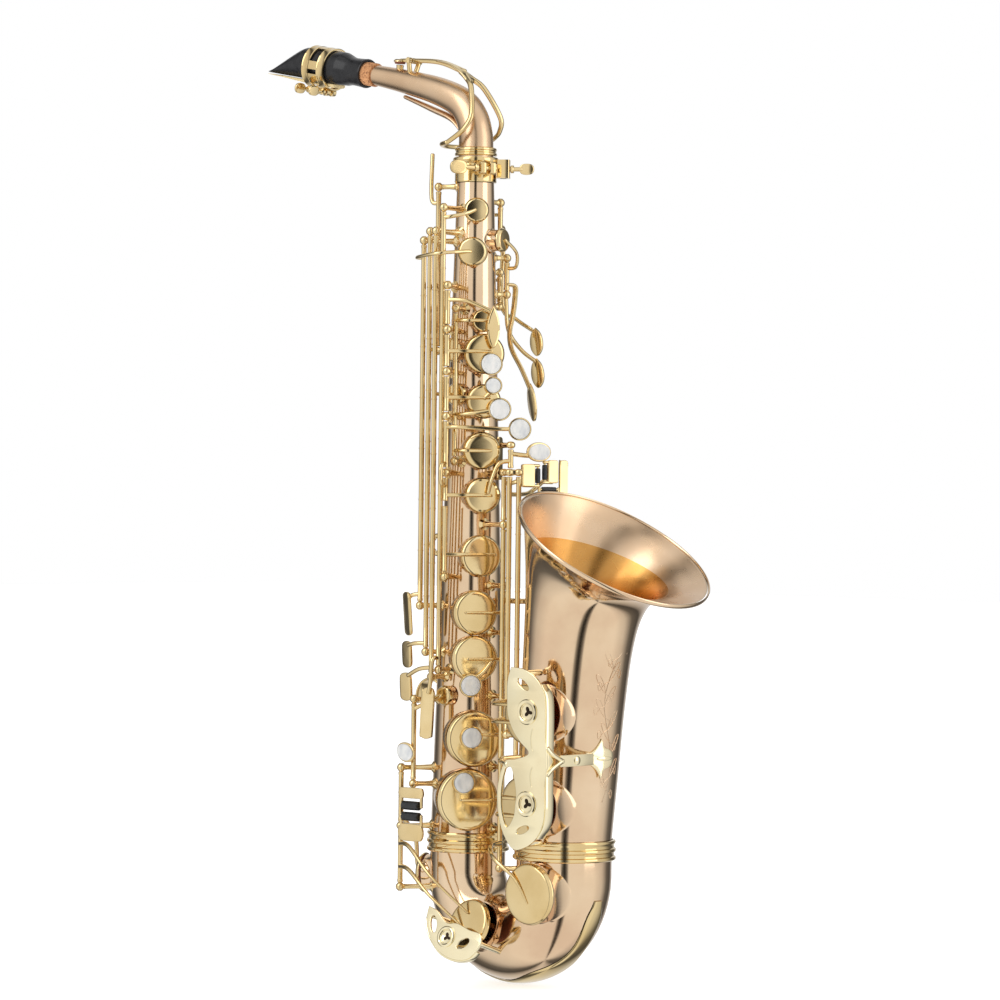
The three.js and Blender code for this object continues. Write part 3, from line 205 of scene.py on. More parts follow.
# Everything that is not metal: one grain drives the colour, the gloss and the relief.
def plain(
    name, stops, scale, gloss, depth, strength=0.2, stretch=(1, 1, 1), coat=0.0, sheen=0.0, specular=0.5
):
    material, tree, coord, shader = new_material(name)
    grain = noise(tree, coord, scale, 6, stretch)
    values = {"Coat Weight": coat, "Sheen Weight": sheen, "Specular IOR Level": specular}
    dress(
        tree, shader, ramp(tree, grain, stops), spread(tree, grain, *gloss), grain, strength, depth,
        values,
    )
    return material


MATERIAL = {
    "rose": lacquer(
        "rose_brass", (0.72, 0.50, 0.32), (0.79, 0.58, 0.375), (0.84, 0.64, 0.43), 0.08, 0.13
    ),
    "satin": lacquer(
        "satin_rose_brass", (0.66, 0.45, 0.28), (0.74, 0.52, 0.33), (0.80, 0.59, 0.40), 0.25, 0.33, 0.15
    ),
    "gold": lacquer(
        "yellow_brass", (0.70, 0.51, 0.23), (0.79, 0.60, 0.30), (0.86, 0.68, 0.37), 0.08, 0.14
    ),
    "guard": lacquer(
        "pale_brass", (0.86, 0.73, 0.46), (0.92, 0.81, 0.53), (0.96, 0.86, 0.60), 0.08, 0.14
    ),
    # The bell's throat liner: darker, deeper orange brass that paints the shade deep in the bell and the
    # painted reflection of light bouncing round inside it.
    "inside": lacquer(
        "painted_throat_shade", (0.50, 0.23, 0.05), (0.62, 0.31, 0.08), (0.72, 0.40, 0.12), 0.22, 0.32, 0.15
    ),
    # Near-black for the adjusters' screw sockets: painted shade standing in for the recess.
    "socket_shade": lacquer(
        "painted_socket_shade", (0.030, 0.020, 0.012), (0.050, 0.034, 0.022), (0.080, 0.058, 0.040), 0.26, 0.4,
        0.0,
    ),
    "engraved": lacquer(
        "engraved_line", (0.74, 0.54, 0.36), (0.80, 0.60, 0.41), (0.86, 0.67, 0.48), 0.28, 0.42, 0.0
    ),
    "pearl": plain(
        "mother_of_pearl",
        [(0.3, (0.52, 0.53, 0.54)), (0.5, (0.64, 0.64, 0.62)), (0.7, (0.72, 0.70, 0.67))],
        120, (0.08, 0.2), 0.00003, 0.05, (1, 2.4, 1),
        coat=0.6,
    ),
    "leather": plain(
        "pad_leather",
        [(0.3, (0.13, 0.035, 0.018)), (0.6, (0.24, 0.075, 0.035)), (0.8, (0.32, 0.12, 0.06))],
        900, (0.5, 0.75), 0.0001,
    ),
    "ebonite": plain(
        "hard_rubber",
        [(0.3, (0.008, 0.008, 0.009)), (0.7, (0.018, 0.018, 0.02))],
        260, (0.2, 0.34), 0.00003, 0.1,
        coat=0.1,
        specular=0.28,
    ),
    "black": plain(
        "black_resin",
        [(0.3, (0.009, 0.009, 0.010)), (0.7, (0.022, 0.022, 0.024))],
        340, (0.16, 0.3), 0.00003, 0.08,
        coat=0.15,
        specular=0.35,
    ),
    "cork": plain(
        "cork",
        [(0.34, (0.16, 0.055, 0.02)), (0.46, (0.48, 0.22, 0.09)), (0.7, (0.62, 0.31, 0.14))],
        620, (0.75, 0.95), 0.0003, 0.5,
    ),
    "cane": plain(
        "cane",
        [(0.35, (0.55, 0.40, 0.18)), (0.55, (0.72, 0.57, 0.29)), (0.75, (0.80, 0.67, 0.40))],
        700, (0.45, 0.62), 0.00006, 0.3, (0.06, 1, 1),
    ),
    "felt": plain(
        "felt",
        [(0.3, (0.010, 0.010, 0.011)), (0.7, (0.035, 0.034, 0.034))],
        1500, (0.85, 1.0), 0.0003, 0.6,
        sheen=0.4,
    ),
}


# ---------- meshes: a shape is a list of points and a list of faces ----------
def offset(x, y, z):
    return Matrix.Translation((x, y, z))


def moved(shape, matrix):
    points, faces = shape
    return [matrix @ Vector(p) for p in points], faces


def skin(rings, closed=False):
    """A skin over rings of equal counts, closed in a loop or capped at its two ends."""
    sides = len(rings[0])
    points = [Vector(p) for ring in rings for p in ring]
    faces = []
    count = len(rings)
    for i in range(count if closed else count - 1):
        a, b = i * sides, ((i + 1) % count) * sides
        for j in range(sides):
            k = (j + 1) % sides
            faces.append((a + j, a + k, b + k, b + j))
    if not closed:
        faces.append(tuple(range(sides - 1, -1, -1)))
        faces.append(tuple((count - 1) * sides + j for j in range(sides)))
    return points, faces


def lathe(profile, sides=40, closed=False):
    """Turns a profile of (radius, height) about the local Z axis. A radius of 0 closes an end."""
    tiny = 0.01
    rings = []
    for r, h in profile:
        r = max(r, tiny)
        rings.append([(r * math.cos(t), r * math.sin(t), h) for t in circle(sides)])
    return skin(rings, closed)


def circle(sides):
    return [2 * math.pi * i / sides for i in range(sides)]


def between(a, b, c, d, t):
    """Catmull-Rom from b to c."""
    square, cube = 2 * a - 5 * b + 4 * c - d, 3 * b - a - 3 * c + d
    return 0.5 * (2 * b + (c - a) * t + square * t * t + cube * t ** 3)


def smooth_path(points, steps=6):
    """Catmull-Rom through the points; each may hold a fourth number, such as a radius."""
    if len(points) < 3:
        return [tuple(lerp(a, b, t / steps) for a, b in zip(*points)) for t in range(steps + 1)]
    padded = [points[0], *points, points[-1]]
    path = []
    for i in range(len(points) - 1):
        p0, p1, p2, p3 = padded[i : i + 4]
        for step in range(steps):
            t = step / steps
            path.append(tuple(between(*numbers, t) for numbers in zip(p0, p1, p2, p3)))
    return path + [tuple(points[-1])]


def sweep(points, ra, rb=None, sides=14, flat=1.0, wide=None):
    """A tapering bar with rounded ends; flat squashes its section across the wide way."""
    rb = ra if rb is None else rb
    path = [Vector(p) for p in smooth_path([tuple(p) for p in points])]
    tangents = [
        (path[min(i + 1, len(path) - 1)] - path[max(i - 1, 0)]).normalized() for i in range(len(path))
    ]
    side = Vector(wide) if wide else tangents[0].orthogonal().normalized()
    rings = []

    def ring(centre, tangent, side, r):
        other = tangent.cross(side)
        return [
            centre + side * (r * math.cos(t)) + other * (r * flat * math.sin(t)) for t in circle(sides)
        ]

    for i, (centre, tangent) in enumerate(zip(path, tangents)):
        side = (side - tangent * side.dot(tangent)).normalized()
        r = lerp(ra, rb, i / (len(path) - 1))
        if i == 0:
            rings.append(ring(centre - tangent * (0.5 * r), tangent, side, 0.55 * r))
            rings.append(ring(centre - tangent * (0.25 * r), tangent, side, 0.87 * r))
        rings.append(ring(centre, tangent, side, r))
        if i == len(path) - 1:
            rings.append(ring(centre + tangent * (0.25 * r), tangent, side, 0.87 * r))
            rings.append(ring(centre + tangent * (0.5 * r), tangent, side, 0.55 * r))
    return skin(rings)


def along(a, b):
    """Matrix whose Z runs from a towards b, starting at a."""
    a, b = Vector(a), Vector(b)
    return Matrix.Translation(a) @ (b - a).to_track_quat("Z", "Y").to_matrix().to_4x4()


def turned_bar(a, b, profile, sides=28):
    """A lathe from a to b; the profile's heights are shares of the length, plus an offset in mm."""
    length = (Vector(b) - Vector(a)).length
    return moved(
        lathe([(r, share * length + shift) for r, share, shift in profile], sides), along(a, b)
    )


def round_bar(a, b, r, chamfer=0.3, sides=24):
    profile = [(r - chamfer, 0, 0), (r, 0, chamfer), (r, 1, -chamfer), (r - chamfer, 1, 0)]
    return turned_bar(a, b, profile, sides)


def rounded_plate(outline, z0, z1, edge=0.7, dome=0.0, steps=5):
    """A plate over a closed outline of (x, y), its edges rounded and its top slightly domed."""
    path = smooth_path([*outline, outline[0]], steps)[:-1]
    cx = sum(p[0] for p in path) / len(path)
    cy = sum(p[1] for p in path) / len(path)
    reach = max(math.hypot(p[0] - cx, p[1] - cy) for p in path)

    def ring(inset, z):
        share = 1 - inset / reach
        return [(cx + (x - cx) * share, cy + (y - cy) * share, z) for x, y in path]

    quarter = 1.5708
    turn = [(edge * (1 - math.cos(a)), edge * math.sin(a)) for a in (0, 0.5, 1.0, quarter)]
    rings = [ring(edge, z0), ring(0.3 * edge, z0 + 0.2 * edge), ring(0, z0 + 0.6 * edge)]
    rings += [ring(inset, z1 - edge + rise) for inset, rise in turn]
    for t in (0.25, 0.5, 0.75, 1):
        rings.append(ring(lerp(edge, reach * 0.97, t), z1 + dome * math.sin(t * quarter)))
    return skin(rings)


def oval(cx, cy, rx, ry, tilt=0.0):
    c, s = math.cos(math.radians(tilt)), math.sin(math.radians(tilt))
    return [
        (
            cx + c * rx * math.cos(t) - s * ry * math.sin(t),
            cy + s * rx * math.cos(t) + c * ry * math.sin(t),
        )
        for t in circle(16)
    ]


def block(cx, cy, wide, tall, corner=2.0):
    """The outline of a rectangle with rounded corners."""
    points = []
    for sx, sy, start in ((1, 1, 0), (-1, 1, 90), (-1, -1, 180), (1, -1, 270)):
        for step in (0, 45, 90):
            a = math.radians(start + step)
            points.append((
                cx + sx * (wide / 2 - corner) + corner * math.cos(a),
                cy + sy * (tall / 2 - corner) + corner * math.sin(a),
            ))
    return points


# ---------- the working frame at an angle round the body tube: x across, y up, z out ----------
def frame_at(phi, centre=(0, 0, 0)):
    a = math.radians(phi)
    return Matrix((
        (-math.sin(a), 0, math.cos(a), centre[0]),
        (math.cos(a), 0, math.sin(a), centre[1]),
        (0, 1, 0, centre[2]),
        (0, 0, 0, 1),
    ))


def turned(matrix, hinge, degrees):
    """The frame swung by degrees about a rod that stands at hinge, along its Y."""
    to = offset(hinge[0], 0, hinge[1])
    return matrix @ to @ Matrix.Rotation(math.radians(degrees), 4, "Y") @ to.inverted()


def bow_frame(angle, roll):
    """The frame of a hole in the bow: angle along the bend from the body, roll round the tube."""
    a, r = math.radians(angle), math.radians(roll)
    run = Vector((math.sin(a), 0, -math.cos(a)))
    outward = Vector((-math.cos(a), 0, -math.sin(a)))
    out = outward * math.cos(r) + Vector((0, 1, 0)) * math.sin(r)
    third = out.cross(run)
    centre = Vector((BOW_CX - BOW_RADIUS * math.cos(a), 0, BOW_CZ - BOW_RADIUS * math.sin(a)))
    made = Matrix((run, third, out)).transposed().to_4x4()
    made.translation = centre
    return made


# ---------- pieces ----------
def make(name, body, shapes, material, stands_for=None, sharp=SHARP_EDGE):
    """One Blender piece of one material from shapes in body millimetres."""
    mesh = bpy.data.meshes.new(name)
    points, faces = [], []
    for shape_points, shape_faces in shapes:
        start = len(points)
        points += [(Vector(p) + SHIFT) * MM for p in shape_points]
        faces += [tuple(start + i for i in face) for face in shape_faces]
    mesh.from_pydata(points, [], faces)
    cleaner = bmesh.new()
    cleaner.from_mesh(mesh)
    bmesh.ops.recalc_face_normals(cleaner, faces=cleaner.faces)
    for face in cleaner.faces:
        face.smooth = True
    cleaner.to_mesh(mesh)
    cleaner.free()
    mesh.set_sharp_from_angle(angle=math.radians(sharp))
    made = bpy.data.objects.new(name, mesh)
    bpy.context.scene.collection.objects.link(made)
    mesh.materials.append(MATERIAL[material])
    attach(made, body)
    if stands_for:
        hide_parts(stands_for)
    return made


def look(name, shapes, material, sharp=SHARP_EDGE):
    """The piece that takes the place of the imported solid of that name."""
    return make(name + "_look", BODY_OF[name], shapes, material, name, sharp)


class Key:
    """Collects a key's shapes, drawn in its working frame, by material."""

    def __init__(self, name, matrix=None):
        self.name = name
        self.matrix = matrix or Matrix.Identity(4)
        self.shapes = {}

    def add(self, *shapes, material="gold", matrix=None):
        placing = self.matrix if matrix is None else matrix
        self.shapes.setdefault(material, []).extend(moved(shape, placing) for shape in shapes)

    def build(self):
        for material, shapes in self.shapes.items():
            if material == "gold":
                look(self.name, shapes, material)
            else:
                make(f"{self.name}_{material}", BODY_OF[self.name], shapes, material)


# The collars at a hinge tube's two ends.
NEAR_COLLAR = [(1.5, 0, 0), (2.0, 0, 0.3), (2.0, 0, 1.8), (ROD, 0, 2.2)]
FAR_COLLAR = [(ROD, 1, -2.2), (2.0, 1, -1.8), (2.0, 1, -0.3), (1.5, 1, 0)]
SEAM_SPACING = 38


def hinge_tube(hinge, y0, y1):
    """A collar at each end and the seams where the key's tubes meet."""
    x, z = hinge
    profile = [*NEAR_COLLAR]
    seams = max(1, round((y1 - y0) / SEAM_SPACING))
    for seam in range(1, seams):
        share = seam / seams
        profile += [(ROD, share, -0.5), (2.05, share, -0.35), (2.05, share, 0.35), (ROD, share, 0.5)]
    profile += FAR_COLLAR
    return turned_bar((x, y0, z), (x, y1, z), profile, 24)


# A key cup: rolled edge, shallow dome with a turned step, and the pad it holds.
def cup_shapes(x, y, rim, r, th):
    z = rim + GAP
    top = z + th
    profile = [
        (r - 1.2, z + 0.9), (r - 0.25, z + 0.9), (r, z + 1.2), (r, z + 1.9), (r - 0.25, z + 2.3),
        (r - 0.5, z + 2.6), (r - 0.75, top - 1.0), (r - 1.4, top - 0.4), (r - 2.4, top - 0.15),
        (0.8 * r, top - 0.05), (0.6 * r, top + 0.05), (0.4 * r, top + 0.13), (0.2 * r, top + 0.18),
        (0, top + 0.2),
    ]
    pad = [
        (0, z + 0.25), (0.4 * r, z + 0.2), (r - 2.2, z), (r - 1.0, z + 0.3), (r - 0.8, z + 0.9),
        (r - 1.2, z + 1.3), (0, z + 1.3),
    ]
    at = offset(x, y, 0)
    return moved(lathe(profile, 56), at), moved(lathe(pad, 48), at)


def pearl_shapes(x, y, z, r):
    at = offset(x, y, 0)
    holder = [
        (0, z), (r - 0.8, z), (r - 0.2, z + 0.4), (r, z + 1.0), (r, z + 2.0), (r - 0.25, z + 2.5),
        (r - 0.8, z + 2.6), (r - 1.1, z + 2.2), (r - 1.2, z + 1.4), (0, z + 1.4),
    ]
    face = [
        (0, z + 1.5), (r - 1.25, z + 1.5), (r - 1.2, z + 2.3), (r - 1.7, z + 2.6), (0.5 * r, z + 2.5),
        (0, z + 2.4),
    ]
    return moved(lathe(holder, 40), at), moved(lathe(face, 40), at)


def add_cup(key, item, th, matrix=None):
    metal, pad = cup_shapes(item["x"], item["y"], item["rim"], item["r"], th)
    key.add(metal, matrix=matrix)
    key.add(pad, material="leather", matrix=matrix)


def add_pearl(key, x, y, z, r):
    holder, face = pearl_shapes(x, y, z, r)
    key.add(holder)
    key.add(face, material="pearl")


def reach(ra, rb, *points):
    """A round arm through the points, from radius ra to rb."""
    return sweep(points, ra, rb)


# ---------- tone holes ----------
def hole(phi, x, y, rim, r):
    """A hole's frame angle, its place there, the height of its lip and its cup's radius."""
    return {"phi": phi, "x": x, "y": y, "rim": rim, "r": r}


def hole_matrix(item):
    return frame_at(item["phi"]) @ offset(item["x"], item["y"], 0)


def small(phi, y, r, height):
    return hole(phi, 0, y, tube_radius(y) + height, r)


UPPER_CUPS = {
    "a_small": (456, 8), "b": (433, 14), "bis": (400, 12), "a": (366, 13), "g": (335, 12.5),
    "g_sharp": (293, 14.7),
}
LOWER_CUPS = {"f_sharp": (0, 254, 15.5), "f": (0, 222, 16.2), "e": (0, 167, 19.5), "d": (-4, 125, 21.5)}
STACK_UP = [hole(UPPER["phi"], 0, y, UPPER["rim"], r) for y, r in UPPER_CUPS.values()]
STACK_LOW = [hole(LOWER["phi"], x, y, LOWER["rim"], r) for x, y, r in LOWER_CUPS.values()]
HOLE = {
    "high_f_sharp": small(-45, 533, 8.7, 5), "high_e": small(-52, 504, 10.3, 5),
    "side_c": small(-91, 436, 8.5, 3.6), "side_b_flat": small(-78, 405, 8, 3.6),
    "alt_f_sharp": small(-85, 196, 7, 3), "palm_d": small(15, 513, 8.7, 5),
    "palm_e_flat": small(125, 487, 9, 5), "palm_f": small(125, 533, 8, 5),
}
BODY_HOLES = [*STACK_UP, *STACK_LOW, *HOLE.values()]
BELL_HOLES = [hole(SIDE_PHI, 100, 188, SIDE_RIM, 20.5), hole(SIDE_PHI, 97, 125, SIDE_RIM, 21)]
LOW_C = {"angle": 80, "roll": -108, "x": 0, "y": 0, "rim": 33.6, "r": 18, "open": 5}
LOW_E_FLAT = hole(-160, 0, 70, 30.5, 14)
LOW_C_SHARP = hole(SIDE_PHI, 94, 66, 38.5, 21)


def e_flat_frame():
    """The low E flat cup's frame stands a little off the tube's axis."""
    return frame_at(LOW_E_FLAT["phi"], (0.3, 0, 0))


def bell_section(z):
    for low, high in zip(BELL, BELL[1:]):
        if z <= high[1]:
            return tuple(lerp(a, b, (z - low[1]) / (high[1] - low[1])) for a, b in zip(low, high))
    return BELL[-1]


# A drawn chimney: its foot follows the tube with a small fillet and its lip is rolled.
def chimney(rim, r, surface):
    wall = r - 1.3
    angles = circle(48)

    def around(radius):
        return [(radius * math.cos(t), radius * math.sin(t)) for t in angles]

    def foot(radius, lift):
        return [(dx, dy, surface(dx, dy) + lift) for dx, dy in around(radius)]

    def level(radius, z):
        return [(dx, dy, z) for dx, dy in around(radius)]

    return skin(
        [
            foot(wall + 1.3, -0.3), foot(wall + 0.6, 0.25), foot(wall + 0.15, 0.9),
            level(wall, rim - 0.9), level(wall + 0.25, rim - 0.5), level(wall + 0.2, rim),
            level(wall - 0.7, rim), level(wall - 0.8, rim - 0.6), foot(wall - 0.8, -1.0),
        ],
        closed=True,
    )


def on_tube(item):
    def surface(dx, dy):
        return math.sqrt(max(tube_radius(item["y"] + dy) ** 2 - (item["x"] + dx) ** 2, 9))
    return moved(chimney(item["rim"], item["r"], surface), hole_matrix(item))


def on_bell(item):
    def surface(dx, dy):
        x, _, _, r = bell_section(item["y"] + dy)
        return math.sqrt(max(r * r - (item["x"] + dx - x) ** 2, 9))
    return moved(chimney(item["rim"], item["r"], surface), hole_matrix(item))


# The opening inside a chimney is cut this much narrower than the cup.
OPENING_INSET = 2.1


def cutter(matrix, r, start, end):
    return moved(lathe([(r - OPENING_INSET, start), (r - OPENING_INSET, end)], 48), matrix)


def bell_cutters():
    return [cutter(hole_matrix(h), h["r"], 20, 44) for h in BELL_HOLES]


def evaluated_mesh(made):
    bpy.context.view_layer.update()
    graph = bpy.context.evaluated_depsgraph_get()
    return bpy.data.meshes.new_from_object(made.evaluated_get(graph))


def pierce(target, cutters):
    """Cuts real openings through a walled tube and applies the result."""
    tool = make("tool", "body", cutters, "rose")
    cut = target.modifiers.new("holes", "BOOLEAN")
    cut.operation = "DIFFERENCE"
    cut.solver = "EXACT"
    cut.use_self = True
    cut.object = tool
    mesh = evaluated_mesh(target)
    target.modifiers.clear()
    target.data = mesh
    mesh.set_sharp_from_angle(angle=math.radians(SHARP_EDGE))
    bpy.data.objects.remove(tool)


# ---------- tubes: a doubled wall over spline sections ----------
def section_ring(x, z, tilt, r, sides):
    a = math.radians(tilt)
    across = Vector((math.cos(a), 0, -math.sin(a)))
    return [
        Vector((x, 0, z)) + across * (r * math.cos(t)) + Vector((0, r * math.sin(t), 0))
        for t in circle(sides)
    ]


def walled(sections, sides, steps):
    path = smooth_path(sections, steps)
    outer = [section_ring(x, z, tilt, r, sides) for x, z, tilt, r in path]
    inner = [section_ring(x, z, tilt, r - WALL, sides) for x, z, tilt, r in reversed(path)]
    return skin(outer + inner, closed=True)


def bow_sections():
    steps = 18
    curve = []
    for i in range(steps + 1):
        a = math.radians(180 * i / steps)
        x, z = BOW_CX - BOW_RADIUS * math.cos(a), BOW_CZ - BOW_RADIUS * math.sin(a)
        curve.append((x, z, 180 - math.degrees(a), lerp(BOW_R_BODY, BOW_R_BELL, i / steps)))
    first, last = curve[0], curve[-1]
    return [(first[0], BOW_TOP, first[2], first[3]), *curve, (last[0], BOW_TOP, last[2], last[3])]


# ---------- posts ----------
# Angle round the tube, the rod's place there, the heights, and the feet's angle where it is not the rod's.
POSTS = [
    (UPPER["phi"], UPPER["hinge"], (480, 449.5, 420.5, 389.5, 350.5, 278.5), -72),
    (UPPER["phi"], UPPER["inner"], (464.5, 358.5), None),
    (LOWER["phi"], LOWER["hinge"], (272.6, 240, 196, 147, 104), None),
    (-118, (0, 37.5), (512, 258), None),
    (-107, (0, 36), (518, 226), None),
    (-96, (0, 36), (518, 209), None),
    (-85, (0, 36), (534, 214), None),
    (-118, (0, 41), (193, 134), None),
    (-48, (-47, 10), (145, 104.5), None),
    (-22, (0, 50.7), (315,), None),
    (62, (0, 24), (501.6, 476), None),
    (85, (0, 24), (541, 514, 492, 468), None),
    (-155, (0, 27), (551, 436), None),
]


# A turned post: flange, waist and ball, with the pivot screw's head on both sides of the ball.
def post_shapes(foot, head):
    foot, head = Vector(foot), Vector(head)
    profile = [
        (4.2, 0, -0.4), (4.2, 0, 0.5), (3.4, 0, 1.1), (2.2, 0, 2.0), (1.7, 0.4, 0.6), (1.75, 1, -4.0),
        (2.0, 1, -3.0),
    ]
    ball = [
        (3.05 * math.sin(math.radians(a)), -3.05 * math.cos(math.radians(a)))
        for a in range(30, 181, 15)
    ]
    stem = turned_bar(foot, head, profile + [(r, 1, h) for r, h in ball], 28)
    half_screw = Vector((0, 0, 2.9))
    return [stem, round_bar(head - half_screw, head + half_screw, 1.7, 0.3, 20)]


def tube_posts():
    made = []
    for phi, (x, z), heights, foot in POSTS:
        angle = math.atan2(x, z) if foot is None else math.radians(foot)
        for y in heights:
            inside = tube_radius(y) - 0.2
            base = frame_at(phi) @ Vector((inside * math.sin(angle), y, inside * math.cos(angle)))
            made += post_shapes(base, frame_at(phi) @ Vector((x, y, z)))
    return made


def outside_post(xy, z, centre, radius, angle=None):
    x, y = xy
    a = math.atan2(y, x - centre) if angle is None else angle
    foot = (centre + (radius - 0.2) * math.cos(a), (radius - 0.2) * math.sin(a), z)
    return post_shapes(foot, (x, y, z))


BELL_RODS = {"c_sharp": (47, -19), "b": (53, -20), "b_flat": (58, -16), "g_sharp": (44, -9)}
PINKY_ROD = (-28.2, -38.9)


# ---------- body, bow and bell ----------
def build_body():
    foot, top = TUBE_FOOT, TUBE_TOP
    sections = [(0, lerp(foot[0], top[0], t / 12), 0, lerp(foot[1], top[1], t / 12)) for t in range(13)]
    tube = look("body_tube", [walled(sections, 96, 2)], "rose")
    pierce(tube, [cutter(hole_matrix(h), h["r"], 3, h["rim"] + 3) for h in BODY_HOLES])
    make("body_chimneys", "body", [on_tube(h) for h in BODY_HOLES], "rose")
    make("body_posts", "body", tube_posts(), "gold")


def build_bow():
    tube = look("bow", [walled(bow_sections(), 96, 2)], "rose")
    low_c = bow_frame(LOW_C["angle"], LOW_C["roll"])
    e_flat = e_flat_frame() @ offset(0, LOW_E_FLAT["y"], 0)
    c_sharp = hole_matrix(LOW_C_SHARP)
    pierce(tube, [
        cutter(low_c, LOW_C["r"], 14, LOW_C["rim"] + 3),
        cutter(e_flat, LOW_E_FLAT["r"], 12, 34),
        cutter(c_sharp, LOW_C_SHARP["r"], 12, 42),
    ])
    bow_r = lerp(BOW_R_BODY, BOW_R_BELL, LOW_C["angle"] / 180)

    def round_across(r, sink, middle=0.0):
        return lambda dx, dy: math.sqrt(max(r ** 2 - (dx + middle) ** 2, 9)) - sink

    def round_along(dx, dy):
        return math.sqrt(max(bow_r ** 2 - dy * dy, 9)) - 1.5

    chimneys = [
        moved(chimney(LOW_C["rim"], LOW_C["r"], round_along), low_c),
        moved(chimney(LOW_E_FLAT["rim"], LOW_E_FLAT["r"], round_across(26.6, 0.8)), e_flat),
        moved(chimney(LOW_C_SHARP["rim"], LOW_C_SHARP["r"], round_across(32.2, 1.5, 5.5)), c_sharp),
    ]
    make("bow_chimneys", "body", chimneys, "rose")
    posts = outside_post(BELL_RODS["c_sharp"], 79, BELL_FOOT_X, 32.4)
    posts += outside_post(PINKY_ROD, 62, 1.8, 26.6)
    make("bow_posts", "body", posts, "gold")


# Double-beaded ferrule with a clamp band between the beads.
def ferrule(name, x, r):
    profile = [
        (r + 0.4, -8), (r + 1.5, -8), (r + 2.5, -7.2), (r + 2.6, -6.4), (r + 2.4, -5.4),
        (r + 1.5, -4.8), (r + 1.3, -3.6), (r + 1.6, -2.4), (r + 2.4, -1.8), (r + 2.6, -0.8),
        (r + 2.4, 0.2), (r + 1.5, 0.8), (r + 1.3, 2.2), (r + 1.6, 3.2), (r + 2.3, 4), (r + 2.4, 4.8),
        (r + 2, 5.7), (r + 1.4, 6), (r + 0.4, 6),
    ]
    made = moved(lathe(profile, 96, closed=True), offset(x, 0, TUBE_FOOT[0]))
    look(name, [made], "gold")


def cut_plate(outlines, thick, edge, matrix):
    """A flat plate with real cut-outs and rounded edges, from closed outlines in its own plane."""
    data = bpy.data.curves.new("plate", "CURVE")
    data.dimensions = "2D"
    data.fill_mode = "BOTH"
    data.extrude = thick / 2 - edge
    data.bevel_depth = edge
    data.bevel_resolution = 3
    data.offset = -edge
    for outline in outlines:
        path = smooth_path([*outline, outline[0]], 6)[:-1]
        spline = data.splines.new("POLY")
        spline.points.add(len(path) - 1)
        for point, (x, y) in zip(spline.points, path):
            point.co = (x, y, 0, 1)
        spline.use_cyclic_u = True
    made = bpy.data.objects.new("plate", data)
    bpy.context.scene.collection.objects.link(made)
    mesh = evaluated_mesh(made)
    shape = ([matrix @ v.co for v in mesh.vertices], [tuple(p.vertices) for p in mesh.polygons])
    bpy.data.objects.remove(made)
    return weld(shape)


def weld(shape):
    """Joins the points that the curve's bevel leaves doubled."""
    mesh = bpy.data.meshes.new("weld")
    mesh.from_pydata([tuple(p) for p in shape[0]], [], shape[1])
    working = bmesh.new()
    working.from_mesh(mesh)
    bmesh.ops.remove_doubles(working, verts=working.verts, dist=0.001)
    working.verts.ensure_lookup_table()
    points = [v.co.copy() for v in working.verts]
    faces = [tuple(v.index for v in f.verts) for f in working.faces]
    working.free()
    bpy.data.meshes.remove(mesh)
    return points, faces


# The bow's plate: a leaf-shaped skin that stands a little off the tube, with a rounded edge.
def bow_plate():
    rows, half = 40, 15
    rings = []
    for i in range(rows + 1):
        t = i / rows
        a = math.radians(lerp(56, 170, t))
        width = half * math.sin(math.pi * min(max(t, 0.015), 0.985)) ** 0.45 * (
            0.78 + 0.22 * math.cos(4 * math.pi * t)
        )
        r = lerp(BOW_R_BODY, BOW_R_BELL, math.degrees(a) / 180)
        outward = Vector((-math.cos(a), 0, -math.sin(a)))
        centre = Vector((BOW_CX, 0, BOW_CZ)) + outward * BOW_RADIUS
        row_top, row_under = [], []
        for j in range(17):
            s = lerp(-1, 1, j / 16)
            roll = math.asin(max(-1, min(1, width * s / r)))
            way = outward * math.cos(roll) + Vector((0, 1, 0)) * math.sin(roll)
            lift = 0.35 + 1.05 * (1 - s ** 8)
            row_top.append(centre + way * (r + lift))
            row_under.append(centre + way * (r + 0.35))
        rings.append(row_top + row_under[::-1])
    return skin(rings)


def build_bell():
    path = smooth_path(BELL, 8)
    outer = [section_ring(x, z, tilt, r, 120) for x, z, tilt, r in path]
    shell = [section_ring(x, z, tilt, r - WALL, 120) for x, z, tilt, r in reversed(path)]
    bell = look("bell", [skin(outer + shell, closed=True)], "rose")
    pierce(bell, bell_cutters())
    # The throat is lined with painted shade and painted reflection: a darker orange sheet just inside the
    # wall, from 110 mm up to where the satin lip begins.
    throat_foot, satin_from = 110, 287
    throat = [row for row in path if throat_foot < row[1] <= satin_from]
    lip = [row for row in path if row[1] >= throat[-1][1]]
    for name, rows, material in (("bell_throat_shade_liner", throat, "inside"), ("bell_lip", lip, "satin")):
        face = [section_ring(x, z, tilt, r - 1.12, 120) for x, z, tilt, r in rows]
        behind = [section_ring(x, z, tilt, r - 1.04, 120) for x, z, tilt, r in reversed(rows)]
        liner = make(name, "body", [skin(face + behind, closed=True)], material)
        if material == "inside":
            pierce(liner, bell_cutters())
    make("bell_chimneys", "body", [on_bell(h) for h in BELL_HOLES], "rose")
    posts = outside_post(BELL_RODS["b_flat"], 108.6, 90.2, 33)
    posts += outside_post(BELL_RODS["b"], 171, 94, 34.9, math.radians(221))
    make("bell_posts", "body", posts, "gold")
    x, z, tilt, r = BELL[-1]
    wire = [(r + 0.5 + 0.8 * (1 + math.cos(a)), -0.4 + 1.6 * math.sin(a)) for a in circle(16)]
    rim = moved(
        lathe(wire, 120, closed=True), offset(x, 0, z) @ Matrix.Rotation(math.radians(tilt), 4, "Y")
    )
    look("bell_rim", [rim], "rose")


# Generic leaf scrolls, raised a hair above the sheet, that wander up the bell's front.
def bell_point(phi, z, lift=0.12):
    x, zc, _, r = bell_section(z)
    a = math.radians(phi)
    return Vector((x + (r + lift) * math.cos(a), (r + lift) * math.sin(a), zc))


